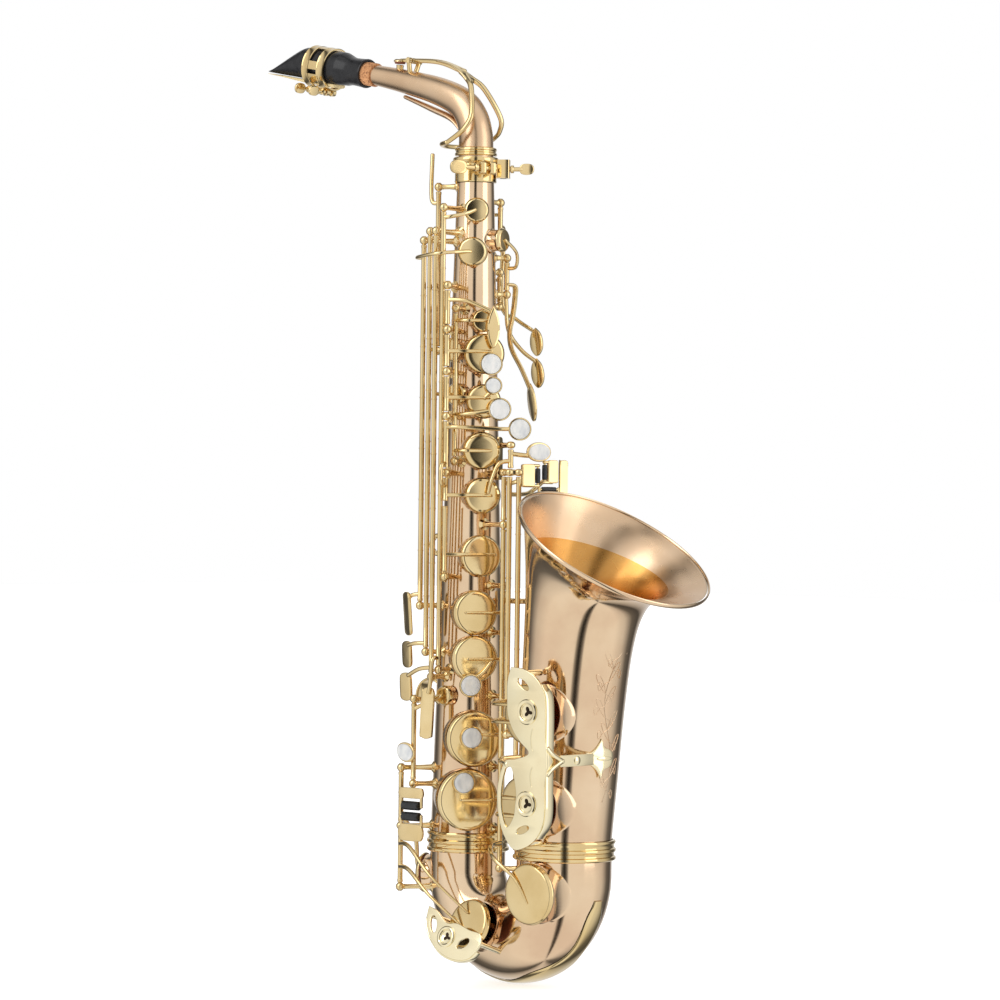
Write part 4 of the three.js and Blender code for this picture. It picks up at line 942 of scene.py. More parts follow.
def bell_engraving():
    lines = []
    stem = [(-4 + 9 * math.sin(t * 0.55), 128 + 8.2 * t) for t in range(15)]
    lines.append([bell_point(phi, z) for phi, z in stem])
    for index, (phi, z) in enumerate(stem[1:-1]):
        side = 1 if index % 2 else -1
        leaf = [(0, 0), (5, 3), (11, 8), (14, 13), (9, 12), (3, 6), (0, 0)]
        lines.append([bell_point(phi + side * a, z + b) for a, b in leaf])
        curl = [(0, 0), (6, -2), (11, -6), (13, -2), (10, 0), (8, -3)]
        lines.append([bell_point(phi - side * a, z + b) for a, b in curl])
    make("bell_engraving", "body", [sweep(line, 0.22, 0.16, 6) for line in lines], "engraved")


def ring_shape(outer, inner, thick, matrix):
    half, edge = thick / 2, min(0.8, (outer - inner) / 3)
    profile = [
        (inner, -half + edge), (inner + edge, -half), (outer - edge, -half), (outer, -half + edge),
        (outer, half - edge), (outer - edge, half), (inner + edge, half), (inner, half - edge),
    ]
    return moved(lathe(profile, 48, closed=True), matrix)


def build_strap_ring():
    ring_x, z = STRAP_RING
    surface = -(tube_radius(z) + 0.5)
    standing = offset(ring_x, 0, z) @ Matrix.Rotation(math.pi / 2, 4, "X")
    side = Matrix(((0, 0, -1, 0), (1, 0, 0, 0), (0, -1, 0, 0), (0, 0, 0, 1)))
    foot = moved(rounded_plate(block(0, 0, 11, 26, 4), 0, 1.8, 0.7), offset(surface - 0.2, 0, z) @ side)
    neck = sweep([(surface - 1, 0, z), (surface - 5.3, 0, z)], 2.6, 1.9)
    look("strap_ring", [ring_shape(8, 4.8, 3.4, standing), foot, neck], "gold")


def build_thumb_hook():
    hook_surface = -(tube_radius(THUMB_HOOK_Z) + 0.9)
    line = [(0.9, -16), (0.9, -4), (0.6, 6), (-8, 9.6), (-16, 6.8), (-20.9, -0.2), (-21.7, -8)]
    rings = []
    path = smooth_path(line, 6)
    for i, (dx, dz) in enumerate(path):
        ahead, behind = path[min(i + 1, len(path) - 1)], path[max(i - 1, 0)]
        normal = Vector((-(ahead[1] - behind[1]), 0, ahead[0] - behind[0])).normalized()
        centre = Vector((hook_surface - 1 + dx, 0, THUMB_HOOK_Z + dz))
        width = 6.5 - 1.6 * (i / (len(path) - 1)) ** 3
        ring = []
        for t in circle(20):
            across = width * (abs(math.cos(t)) ** 0.35) * (1 if math.cos(t) > 0 else -1)
            ring.append(centre + normal * (1.15 * math.sin(t)) + Vector((0, across, 0)))
        rings.append(ring)
    look("thumb_hook", [skin(rings)], "gold")


def build_thumb_rest():
    rest = [(0, 0), (9.6, 0), (10.4, 0.5), (10.5, 1.4), (9.9, 2.6), (8.6, 3.4), (6, 3.8), (0, 4)]
    at = frame_at(172) @ offset(0, THUMB_REST_Z, tube_radius(THUMB_REST_Z) + 1.6)
    look("thumb_rest", [moved(lathe(rest, 48), at)], "black")


def build_brace():
    body_side = math.sqrt(tube_radius(BRACE_Z) ** 2 - 30) + 2.2
    middle = (tube_radius(BRACE_Z) + 0.5 + 63.4) / 2

    def strut(x0, x1, r0, r1):
        return sweep([(x0, BRACE_Y, BRACE_Z), (x1, BRACE_Y, BRACE_Z)], r0, r1)

    shapes = [
        ring_shape(12, 8.6, 3.2, offset(middle, BRACE_Y, BRACE_Z)),
        strut(body_side, middle - 10.8, 2.2, 1.9),
        strut(middle + 10.8, 61.4, 1.9, 2.2),
    ]
    for x, way in ((body_side - 0.5, 1), (61.8, -1)):
        turn = Matrix(((0, 0, way, x), (1, 0, 0, BRACE_Y), (0, 1, 0, BRACE_Z), (0, 0, 0, 1)))
        shapes.append(moved(rounded_plate(block(0, 0, 7, 14, 2.5), -0.2, 1.6, 0.6), turn))
    look("body_to_bell_brace", shapes, "gold")


# ---------- neck and mouthpiece ----------
SLOPE = math.radians(10.5)
TIP = Vector((-math.cos(SLOPE), 0, math.sin(SLOPE)))
UP = Vector((math.sin(SLOPE), 0, math.cos(SLOPE)))
CORK_FOOT = Vector((-97, 0, 635.1))


def along_piece(s, up=0.0, side=0.0):
    return CORK_FOOT + TIP * s + UP * up + Vector((0, side, 0))


def piece_matrix():
    """Z along the mouthpiece, X sideways and Y up, from the foot of the cork."""
    made = Matrix((Vector((0, -1, 0)), UP, TIP)).transposed().to_4x4()
    made.translation = CORK_FOOT
    return made


def build_neck():
    tube = walled(NECK, 64, 8)
    under = []
    for x, z, r in smooth_path(
        [(-6, 583, 2.6), (-20, 598, 2.5), (-42, 607.5, 2.2), (-68, 617.6, 1.5)], 10
    ):
        wide = 3.4 * r * 0.55
        under.append([Vector((x, wide * math.cos(t), z + r * math.sin(t))) for t in circle(16)])
    look("neck_tube", [tube, skin(under)], "satin")
    collar = [
        (12.3, 572), (14.3, 572), (14.8, 572.6), (14.8, 573.8), (14.2, 574.4), (14.2, 575.4),
        (14.7, 576), (14.5, 577.2), (13.8, 577.8), (12.3, 578),
    ]
    posts = []
    for way in (-1, 1):
        posts.append(sweep([(-62, way * 2.2, 632), (-60.5, way * 5.4, 642.5)], 1.8, 1.7))
        posts.append(round_bar((-60.5, way * 4.2, 642.8), (-60.5, way * 6.8, 642.8), 2.3))
    vent = turned_bar(
        (-75, 0, 632), (-74, 0, 641),
        [(3.6, 0, 0), (2.6, 0, 1.5), (2.6, 1, -1), (2.9, 1, -0.3), (2.2, 1, 0)],
    )
    make("neck_fittings", "neck", [lathe(collar, 72, closed=True), *posts, vent], "gold")
    cork = [(6.9, 0.2), (8.2, 0.2), (8.5, 0.9), (8.3, 12), (7.9, 24.2), (7.6, 24.9), (6.7, 24.9)]
    look("neck_cork", [moved(lathe(cork, 56, closed=True), piece_matrix())], "cork")


def build_receiver():
    sleeve = [
        (12.9, 553.4), (14.4, 553.4), (14.8, 554.2), (14.6, 555), (14.6, 566.4), (15.4, 567),
        (16, 567.8), (16, 570), (15.5, 570.8), (12.9, 571),
    ]
    shapes = [lathe(sleeve, 72, closed=True)]
    lug = rounded_plate(block(0, 0, 8.6, 9, 2), -2.2, 2.2, 0.7)
    for x in (-3.6, 3.6):
        turn = frame_at(CLAMP_PHI) @ offset(x, CLAMP_Z, 18) @ Matrix.Rotation(math.pi / 2, 4, "Y")
        shapes.append(moved(lug, turn))
    lyre = frame_at(LYRE_PHI) @ offset(0, LYRE_Z, 19.6) @ Matrix.Rotation(math.pi / 2, 4, "X")
    frame_points = block(0, 0, 9, 9, 1.6)
    slot_points = [(x * 0.5, y * 0.49) for x, y in frame_points]
    outer = smooth_path([*frame_points, frame_points[0]], 2)[:-1]
    inner = smooth_path([*slot_points, slot_points[0]], 2)[:-1]
    loops = ((outer, -6.5), (outer, 6.5), (inner, 6.5), (inner, -6.5))
    rings = [[(x, y, h) for x, y in loop] for loop, h in loops]
    shapes.append(moved(skin(rings, closed=True), lyre))
    look("neck_receiver", shapes, "gold")


def paddle(centre, across, normal, r, thick):
    """A thumb screw's flat head, waisted and rounded."""
    across, normal = Vector(across).normalized(), Vector(normal).normalized()
    third = normal.cross(across)
    turn = Matrix((across, third, normal)).transposed().to_4x4()
    turn.translation = Vector(centre)
    outline = [
        (r * math.cos(t), r * 0.86 * math.sin(t) * (1 + 0.12 * math.cos(2 * t))) for t in circle(20)
    ]
    return moved(rounded_plate(outline, -thick / 2, thick / 2, 0.8), turn)


def build_screws():
    def add_screw(name, place, shank, collar, head, collar_r, head_r, thick, ways):
        """A shank, a collar and a flat head at the given places along the screw's own line."""
        (start, end, r), (low, high) = shank, collar
        shapes = [
            round_bar(place(start), place(end), r),
            round_bar(place(low), place(high), collar_r, 0.5),
            paddle(place(head), *ways, head_r, thick),
        ]
        look(name, shapes, "gold")

    clamp, lyre = frame_at(CLAMP_PHI), frame_at(LYRE_PHI)
    clamp_ways = (clamp.to_3x3() @ Vector((1, 0, 0)), clamp.to_3x3() @ Vector((0, 0, 1)))
    lyre_ways = (lyre.to_3x3() @ Vector((0, 0, 1)), lyre.to_3x3() @ Vector((1, 0, 0)))
    add_screw(
        "neck_clamp_screw", lambda x: clamp @ Vector((x, CLAMP_Z, 18.6)),
        (-16, 7.5, 1.7), (-9, -6.4), -21, 3.0, 6.4, 2.2, clamp_ways,
    )
    add_screw(
        "lyre_screw", lambda z: lyre @ Vector((0, LYRE_Z, z)),
        (22.4, 33, 1.6), (24.6, 27), 36, 2.8, 5.2, 2.0, lyre_ways,
    )
    for name, s in LIGATURE_SCREWS.items():
        add_screw(
            name, lambda side: along_piece(s, LIGATURE_SCREW_UP, side),
            (-12.4, 6, 1.4), (-8.6, -5.6), -16.2, 2.4, 5.0, 2.0, ((0, 1, 0), TIP),
        )


# Place along the piece, outer radius, top of the beak and depth of the flat table.
MOUTHPIECE = [
    (9, 10.2, 10.2, 10.2), (10, 10.5, 10.5, 10.5), (12, 10.3, 10.3, 10.3), (20, 9.9, 9.9, 9.9),
    (25, 10.3, 10.3, 10.3), (31, 12.1, 12.1, 11), (36, 12.6, 12.6, 11), (64, 12.2, 12.2, 10.8),
    (72, 11.6, 11.2, 10.8), (82, 10.2, 5.4, 10.7), (92, 8.6, -1.4, 10.7), (99, 7.7, -6.6, 10.6),
    (103, 7.1, -9.2, 10.6),
]


def mouthpiece_ring(s, r, top, table):
    """A section of the mouthpiece: round behind, flat under the reed and cut to a beak in front."""
    ring = []
    for t in circle(48):
        up = r * math.sin(t)
        if top < r:
            up = lerp(-table, top, (math.sin(t) + 1) / 2)
        ring.append(along_piece(s, max(up, -table), r * math.cos(t)))
    return ring


def build_mouthpiece():
    outer = [mouthpiece_ring(*row) for row in smooth_path(MOUTHPIECE, 4)]
    bore = []
    for s, r in ((62, 0.05), (61.9, 7), (33, 8.7), (9, 8.9)):
        bore.append([along_piece(s, r * math.sin(t), r * math.cos(t)) for t in circle(48)])
    look("mouthpiece", [skin([*bore, *outer])], "ebonite", 30)
    rings = []
    for s, thick, wide in (
        (36, 2.6, 6), (38, 2.7, 6.4), (66, 2.6, 6.8), (72, 2.2, 6.9), (90, 1.1, 7.1), (103, 0.5, 7.1)
    ):
        section = [(wide, REED_UP), (wide, REED_UP - thick * 0.55)]
        for a in (0.5, 1.0, 1.57, 2.14, 2.64):
            section.append((wide * math.cos(a), REED_UP - thick * (0.55 + 0.45 * math.sin(a))))
        section += [(-wide, REED_UP - thick * 0.55), (-wide, REED_UP)]
        rings.append([along_piece(s, up, side) for side, up in section])
    look("reed", [skin(rings)], "cane")


# The ligature: two bands joined by bridges, so oval windows stay open between them.
def build_ligature():
    def rim_point(s, t, grow):
        bulge = 0 if math.sin(t) > 0 else 1.9 * abs(math.sin(t))
        r = LIGATURE_R + bulge + grow
        return along_piece(s, r * math.sin(t), r * math.cos(t))

    def band(s0, s1):
        section = [
            (s0, -0.3), (s0 + 0.4, 0.1), (s0 + 0.8, -0.1), (s1 - 0.8, -0.1),
            (s1 - 0.4, 0.1), (s1, -0.3), (s1, -1.1), (s0, -1.1),
        ]
        return skin([[rim_point(s, t, grow) for t in circle(64)] for s, grow in section], closed=True)

    def bridge(t0, t1):
        section = [(46, -0.1), (58, -0.1), (58, -1.0), (46, -1.0)]
        steps = [math.radians(lerp(t0, t1, i / 8)) for i in range(9)]
        return skin([[rim_point(s, t, grow) for s, grow in section] for t in steps])

    shapes = [band(41, 48), band(56, 63)]
    shapes += [bridge(t0, t1) for t0, t1 in ((62, 118), (205, 232), (308, 335), (-12, 12), (168, 192))]
    barrel = [(2.4, 0, 0), (2.8, 0, 0.4), (2.8, 1, -0.4), (2.4, 1, 0)]
    for s in (45, 59):
        for side in ((-5, -1.2), (1.2, 5)):
            shapes.append(turned_bar(*[along_piece(s, LIGATURE_SCREW_UP, y) for y in side], barrel))
    look("ligature", shapes, "gold")


def build_octave_keys():
    key = Key("neck_octave_key")
    pad_line = ((-74.2, 0, 641.6), (-74, 0, 645))
    key.add(
        turned_bar(*pad_line, [(4.0, 0, 1.2), (4.6, 0, 1.4), (4.6, 1, -1.0), (3.8, 1, -0.2), (0, 1, 0)])
    )
    key.add(turned_bar(*pad_line, [(3.4, 0, 0.1), (3.9, 0, 0.5), (3.9, 0, 1.5)]), material="leather")
    key.add(
        sweep([(-74, 0, 644.2), (-60.5, 0, 643.2), (-34, 0, 640), (-12, 0, 632)], 1.6, 2.4, 16, 0.7)
    )
    key.add(
        sweep(
            [(-37, 0, 641), (-24, 0, 637.6), (-13, 0, 632), (-6, 0, 626)], 2.4, 5.4, 20, 0.32, (0, 1, 0)
        )
    )
    key.add(round_bar((-60.5, -3.4, 642.8), (-60.5, 3.4, 642.8), 2.1))
    for side in (-1, 1):
        loop = [
            (-15, 0, 632.4), (-7, side * 2.6, 627), (1, side * 7, 619.5), (9, side * 15, 600),
            (6, side * 18, 591), (0, side * 19, 586), (-10, side * 19, 581),
        ]
        key.add(sweep(loop, 2.2, 1.7, 16, 0.75))
    bridge = [(-10, 19, 581), (-19, 14.6, 580.6), (-24, 7, 580.3), (-25, 0, 580.2)]
    bridge += [(x, -y, z) for x, y, z in bridge[-2::-1]]
    key.add(sweep(bridge, 1.7, 1.7, 14))
    key.build()
    key = Key("octave_thumb_key", frame_at(-155))
    key.add(hinge_tube((0, 27), 439.2, 547.8))
    key.add(reach(1.5, 1.5, (0, 540, 27), (-1, 543, 32.5), (-2, 574, 32.5)))
    key.add(reach(1.6, 1.6, (0, 444, 27), (-12, 446, 30), (-18, 450, 28.4)))
    key.add(rounded_plate(block(-20, 452, 14, 15, 4), 26.8, 29.2, 0.8, 0.3))
    key.build()


# ---------- stacks ----------
UP_TOP = UPPER["rim"] + GAP + UPPER["th"]
LOW_TOP = LOWER["rim"] + GAP + LOWER["th"]


def upper_key(name, opened=None, hinge="hinge"):
    degrees = -UPPER["open"] if opened is None else opened
    return Key(name, turned(frame_at(UPPER["phi"]), UPPER[hinge], degrees))


def upper_cup(key, note, arm_y, to, hinge="hinge"):
    """A cup and the arm that reaches from its rod to x = to, at the height arm_y."""
    (y, r), (hx, hz) = UPPER_CUPS[note], UPPER[hinge]
    bend = -14 if hinge == "hinge" else -12
    add_cup(key, hole(UPPER["phi"], 0, y, UPPER["rim"], r), UPPER["th"])
    arm = [(hx, hz), (bend, UP_TOP + 0.9), (to * 0.2 - 4, UP_TOP + 0.7), (to, UP_TOP + 0.3)]
    key.add(sweep([(x, arm_y, z) for x, z in arm], 1.8, 1.2, 14, 0.8))


def build_upper_stack():
    outer, inner = UPPER["hinge"], UPPER["inner"]
    key = upper_key("front_f_key", 0)
    key.add(
        hinge_tube(outer, 453, 476.5), reach(1.5, 1.3, (-26, 470, 27), (-14, 469, 35), (2, 462, 40.5))
    )
    outline = [(0, 15), (3, 8), (4.4, 0), (3.4, -9), (0, -14.6), (-3.4, -9), (-4.4, 0), (-3, 8)]
    key.add(rounded_plate([(3 + x, 451 + y) for x, y in outline], 39.6, 43, 0.9, 0.3))
    key.build()
    key = upper_key("b_key")
    key.add(hinge_tube(outer, 424, 446))
    upper_cup(key, "b", 434.5, 5)
    add_pearl(key, 4.5, 426, UP_TOP - 0.4, 8)
    key.build()
    key = upper_key("bis_key")
    key.add(
        hinge_tube(outer, 393, 417),
        reach(1.5, 1.3, (0, 402, UP_TOP), (5.5, 408, UP_TOP + 1.8), (6, 411, UP_TOP + 2)),
    )
    upper_cup(key, "bis", 402.5, 4)
    add_pearl(key, 6, 411, UP_TOP + 1, 6.2)
    key.build()
    key = upper_key("a_key", -UPPER["open_inner"], "inner")
    key.add(
        hinge_tube(inner, 362, 461),
        reach(1.5, 1.4, (-19, 391, 23), (-12, 391, 32.5), (3, 393, 35.5), (11.5, 394.5, 35.5)),
    )
    upper_cup(key, "a", 366, 6, "inner")
    upper_cup(key, "a_small", 456, 3, "inner")
    add_pearl(key, 11.5, 394.5, 34.6, 8)
    key.build()
    key = upper_key("g_key")
    key.add(hinge_tube(outer, 354, 386), hinge_tube(outer, 331, 347))
    key.add(reach(1.5, 1.4, (-26, 382, 27), (-18, 382, 33.5), (8, 381, 37.2), (17, 381, 37.2)))
    key.add(reach(1.5, 1.5, (-26, 357, 27), (-29.5, 355, 31.5), (-29.5, 344, 31.5), (-26, 341, 27)))
    upper_cup(key, "g", 335, 6)
    add_pearl(key, 24, 381, 36.4, 8)
    key.build()
    key = upper_key("g_sharp_key", 0)
    key.add(hinge_tube(outer, 282, 327.4))
    upper_cup(key, "g_sharp", 294, 10)
    key.build()


def build_lower_stack():
    rows = [
        ("f_sharp", (243.2, 269.4), 254, -8, None),
        ("f", (199.2, 236.8), 222, -6, (-4.4, 204, LOW_TOP + 1.4)),
        ("e", (150.2, 192.8), 170, -6, (-2.8, 168, LOW_TOP - 0.3)),
        ("d", (107.2, 143.8), 125, -10, (-8, 137, LOW_TOP - 0.3)),
    ]
    hx, hz = LOWER["hinge"]
    for note, ends, arm_y, to, touch in rows:
        x, y, r = LOWER_CUPS[note]
        key = Key(note + "_key", turned(frame_at(LOWER["phi"]), LOWER["hinge"], LOWER["open"]))
        key.add(hinge_tube(LOWER["hinge"], *ends))
        add_cup(key, hole(LOWER["phi"], x, y, LOWER["rim"], r), LOWER["th"])
        arm = [
            (hx, hz), (hx - 0.8, hz + 6.2), (13, LOW_TOP + 1.2), (4, LOW_TOP + 0.8), (to, LOW_TOP + 0.3),
        ]
        key.add(sweep([(x, arm_y, z) for x, z in arm], 1.9, 1.0, 14, 0.8))
        if note == "f":
            key.add(
                reach(1.6, 1.4, (12, 222, LOW_TOP), (5, 213, LOW_TOP + 1.6), (-1, 209, LOW_TOP + 1.4))
            )
        if touch:
            add_pearl(key, *touch, 8)
        key.build()


# ---------- side keys and palm keys ----------
def side_key(note, phi, z, ends, path, touch_arm, touch, arm=(1.6, 1.5, 14)):
    """The path leads to the cup in the hole's frame; the touch and its arm are in the rod's frame."""
    item = HOLE[note]
    key = Key(note + "_key", frame_at(phi))
    key.add(hinge_tube((0, z), *ends))
    own = frame_at(item["phi"])
    top = item["rim"] + GAP + UPPER["th"]
    add_cup(key, item, UPPER["th"], own)
    key.add(sweep([*path, (-1, item["y"], top + 0.6)], 1.6, 1.2, 14, 0.85), matrix=own)
    key.add(sweep(touch_arm, *arm))
    outline, lean, place = touch
    turn = key.matrix @ offset(*place) @ Matrix.Rotation(math.radians(lean), 4, "X")
    key.add(rounded_plate(outline, -1.1, 1.1, 0.8, 0.25), matrix=turn)
    key.build()


def leaf(wide, tall):
    half, rise = wide / 2, tall / 2
    right = [(half * 0.7, rise * 0.62), (half, 0), (half * 0.8, -rise * 0.6)]
    return [(0, rise), *right, (0, -rise), *[(-x, y) for x, y in right[::-1]]]


def build_side_keys():
    side_key(
        "high_e", -118, 37.5, (261, 509),
        [
            (-34.3, 500, 15.3), (-38.8, 500, 17.3), (-32, 501, 27.9), (-23.1, 502, 35.6),
            (-12, 503, 33), (-4, 504, 27),
        ],
        [(0, 266, 37.5), (-4, 265, 42), (-9, 262, 43.5)],
        (block(0, 0, 12.4, 30.5, 4), 4, (-9, 252, 43.4)),
    )
    side_key(
        "side_c", -107, 36, (229, 515),
        [(-10.6, 436, 34.3), (-9, 436, 28.4)],
        [(0, 232, 36), (-8, 231.6, 40.4), (-15, 230, 41.4)],
        (block(0, 0, 11.6, 18.6, 4), 3, (-18, 223.6, 40.4)),
    )
    side_key(
        "side_b_flat", -96, 36, (212, 515),
        [(-11.1, 405, 34.2), (-9, 405, 29.5)],
        [(0, 215.4, 36), (-10, 214, 38.4), (-22, 209, 38.2)],
        (block(0, 0, 11.6, 19.6, 4), 3, (-26, 201, 36.4)),
    )
    side_key(
        "high_f_sharp", -85, 36, (217, 531),
        [(-23.1, 527, 27.6), (-18, 527.6, 30), (-8, 530, 28)],
        [(0, 222, 36), (-1.5, 221, 40.8), (-3, 206, 41), (-5, 198, 40.4)],
        (block(0, 0, 10.6, 35.5, 4), -4, (-6.5, 184, 39.6)),
    )
    side_key(
        "palm_d", 62, 24, (479, 498.6),
        [(17.6, 494.6, 16.4), (16.4, 495.4, 24), (12, 505, 26.5)],
        [
            (0, 483, 24), (1, 482, 30.4), (2, 474, 31), (2, 462, 29.6), (1, 450, 27), (1, 438, 28.6),
            (3, 424, 37), (4, 410, 44),
        ],
        (leaf(13, 27), -8, (4, 401, 45.4)),
        (2.6, 2.0, 16, 0.5, (0, 0, 1)),
    )
    side_key(
        "palm_e_flat", 85, 24, (471, 489),
        [(-15.4, 487, 18.4), (-12, 487, 25.6)],
        [(0, 475.6, 24), (0, 475, 30), (-2, 452, 31), (-9, 438, 37), (-16, 430, 44.4)],
        (leaf(12, 21), -8, (-17, 421.6, 45.8)),
        (1.7, 1.6, 16, 0.8, (0, 0, 1)),
    )
    side_key(
        "palm_f", 85, 24, (517, 538),
        [(-15.4, 533, 18.4), (-12, 533, 25.2)],
        [(0, 521, 24), (4, 520.4, 31), (7, 470, 33), (0, 460, 40), (-12, 452, 44.6)],
        (leaf(12, 20), -6, (-15, 443.6, 46.2)),
        (2.0, 1.6, 16, 0.7, (0, 0, 1)),
    )
    key = Key("alt_f_sharp_key", frame_at(-118))
    item = HOLE["alt_f_sharp"]
    own = frame_at(item["phi"])
    key.add(hinge_tube((0, 41), 137, 190), reach(1.5, 1.4, (0, 158, 41), (1, 157, 45.4), (3, 155, 46)))
    add_cup(key, item, UPPER["th"], own)
    key.add(
        sweep(
            [
                (-22.3, 186, 34.4), (-14, 190, 33),
                (-1, item["y"], item["rim"] + GAP + UPPER["th"] + 0.6),
            ],
            1.6, 1.2,
        ),
        matrix=own,
    )
    touch = key.matrix @ offset(0, 156, 45.8) @ Matrix.Rotation(math.radians(24), 4, "Y")
    key.add(rounded_plate(oval(0, 0, 9.2, 6.8, -12), 0, 1.8, 0.7), matrix=touch)
    key.add(
        rounded_plate(oval(0, 0, 8.0, 5.7, -12), 1.5, 2.9, 0.6, 0.2), material="pearl", matrix=touch
    )
    key.build()


# ---------- left little finger's table ----------
def upright(rod, z0, z1):
    return turned_bar((*rod, z0), (*rod, z1), NEAR_COLLAR + FAR_COLLAR, 24)


def table_plate(x0, x1, y0, y1, corner=1.8):
    wide, tall = x1 - x0, y1 - y0
    radius = min(corner, wide / 2 - 0.1, tall / 2 - 0.1)
    return rounded_plate(
        block((x0 + x1) / 2, (y0 + y1) / 2, wide, tall, radius), TABLE_FACE - 1.2, TABLE_FACE + 1.2, 0.6
    )


def roller_fork(ends, back):
    a, b = (Vector(p) for p in ends)
    way, back = (b - a).normalized(), Vector(back)
    shapes = [sweep([p + back * 6, p - back], 1.2, 1.1, 12) for p in (a - way * 1.5, b + way * 1.5)]
    return shapes + [round_bar(a - way * 1.4, b + way * 1.4, 0.8, 0.1)]


def roller_shape(ends, r):
    a, b = (Vector(p) for p in ends)
    length = (b - a).length
    half = length / 2
    profile = [(1.0, 0.3), (r - 0.6, 0.3), (r - 0.1, 0.8), (r, half)]
    profile += [(radius, length - h) for radius, h in profile[-2::-1]]
    return moved(lathe(profile, 36, closed=True), along(a, b))


ROLLER = {
    "c_sharp_roller": (((26.3, 343.5, TABLE_FACE), (26.3, 354.5, TABLE_FACE)), 1.9, TABLE_PHI),
    "b_roller": (((31.7, 346, TABLE_FACE), (31.7, 357, TABLE_FACE)), 1.9, TABLE_PHI),
    "b_flat_roller": (((29, 339.6, TABLE_FACE), (41, 339.6, TABLE_FACE)), 1.9, TABLE_PHI),
    "e_flat_roller": (((-20.5, 119.6, 45), (-4.5, 119.6, 45)), 3.2, SIDE_PHI),
    "low_c_roller": (((-20.5, 112, 45), (-4.5, 112, 45)), 3.2, SIDE_PHI),
}


def build_table():
    for name, (ends, r, phi) in ROLLER.items():
        look(name, [moved(roller_shape(ends, r), frame_at(phi))], "black")
    rods = [BELL_RODS[n] for n in ("g_sharp", "c_sharp", "b", "b_flat")]
    foot = moved(rounded_plate(block(0, 361, 7, 30, 2.5), 20, 21.6, 0.6), frame_at(19))
    low, high = 351, 370
    shapes = [foot, sweep([(19.6, 6.6, low), *[(*rod, low) for rod in rods]], 2.2, 2.0)]
    shapes.append(sweep([(19.6, 6.6, high), (*rods[0], high)], 2.2, 1.8))
    for rod, z in [(rods[0], high), *[(rod, low) for rod in rods]]:
        ball = [
            (0, 0, 0), (2.0, 0, 0.4), (3.0, 0.3, 0), (3.1, 0.5, 0), (3.0, 0.7, 0), (2.0, 1, -0.4),
            (0, 1, 0),
        ]
        shapes.append(turned_bar((*rod, z - 2.6), (*rod, z + 2.6), ball))
    look("left_table_bracket", shapes, "gold")
    table, stack = frame_at(TABLE_PHI), frame_at(UPPER["phi"])
    key = Key("g_sharp_lever")
    key.add(upright(rods[0], 354, 367), sweep([(44, -9, 364), (50, -2, 363), (53, 5, 362.6)], 1.7, 1.6))
    key.add(
        sweep([(16.4, 359, 41.8), (8, 357, 42.4), (3, 346, 42), (1, 337, 41)], 1.6, 1.3), matrix=stack
    )
    key.add(rounded_plate(oval(26, 365.4, 9.4, 6.8), 48, 50.2, 0.8), matrix=table)
    key.add(
        rounded_plate(oval(26, 365.4, 8.2, 5.7), 49.8, 51.2, 0.6, 0.2), material="pearl", matrix=table
    )
    key.build()
    key = Key("low_c_sharp_lever")
    key.add(upright(rods[1], 318, 348))
    shapes = [
        sweep([(-1.8, 343.5, 50.7), (8, 344, 45.2), (19, 348, 45.6)], 1.7, 1.5),
        table_plate(13.5, 23.7, 341, 357),
    ]
    key.add(*shapes, *roller_fork(ROLLER["c_sharp_roller"][0], (-1, 0, 0)), matrix=table)
    key.build()


def low_key(name, opened, ends, item, heights=(), blade=(), touch=()):
    """A key on one of the bell's rods, with straight arms at the given heights or one long blade."""
    rod = BELL_RODS[name.removeprefix("low_").removesuffix("_key")]
    hinge = (rod[0], -rod[1])
    key = Key(name, turned(frame_at(SIDE_PHI), hinge, opened))
    top = item["rim"] + GAP + SIDE_TH
    key.add(hinge_tube(hinge, *ends))
    add_cup(key, item, SIDE_TH)
    if blade:
        key.add(sweep([(hinge[0], blade[0], hinge[1]), *blade[1:]], 2.6, 0.5, 16, 0.75))
    for height in heights:
        arm = [hinge, (hinge[0] + 7, 34), (hinge[0] + 20, top + 2), (item["x"] + 2, top + 0.6)]
        key.add(sweep([(x, height, z) for x, z in arm], 1.9, 1.3, 14, 0.8))
    if touch:
        key.add(*touch, matrix=frame_at(TABLE_PHI))
    key.build()


def build_low_keys():
    b_arm = [(-0.7, 336, 56.7), (14, 336, 46), (27, 338, 36.6), (38, 347, 37.6), (38, 352, 46.4)]
    b_touch = [
        sweep(b_arm, 1.7, 1.5), table_plate(34, 42, 344, 360),
        *roller_fork(ROLLER["b_roller"][0], (1, 0, 0)),
    ]
    low_key("low_b_key", -SIDE_OPEN, (174, 348), BELL_HOLES[0], (182, 194), touch=b_touch)
    b_flat_touch = [
        sweep([(4.8, 330, 60), (20, 330, 50), (38, 331, 43.4), (46.5, 342, 45.8)], 1.7, 1.5),
        table_plate(43.4, 49.6, 334, 360), table_plate(26.6, 49.6, 332.6, 335.4, 1.0),
        *roller_fork(ROLLER["b_flat_roller"][0], (0, -1, 0)),
    ]
    low_key("low_b_flat_key", -SIDE_OPEN, (111.6, 348), BELL_HOLES[1], (119, 131), touch=b_flat_touch)
    top = LOW_C_SHARP["rim"] + GAP + SIDE_TH
    blade = [96, (52, 95, 34), (67, 88, top + 2.6), (84, 76, top + 1.2), (95, 60, top + 0.5)]
    low_key("low_c_sharp_key", 0, (82, 312), LOW_C_SHARP, blade=blade)


def pinky_plate(y0, y1, corner):
    return rounded_plate(block(-12.75, (y0 + y1) / 2, 23.5, y1 - y0, corner), 43.9, 46.1, 0.8, 0.2)


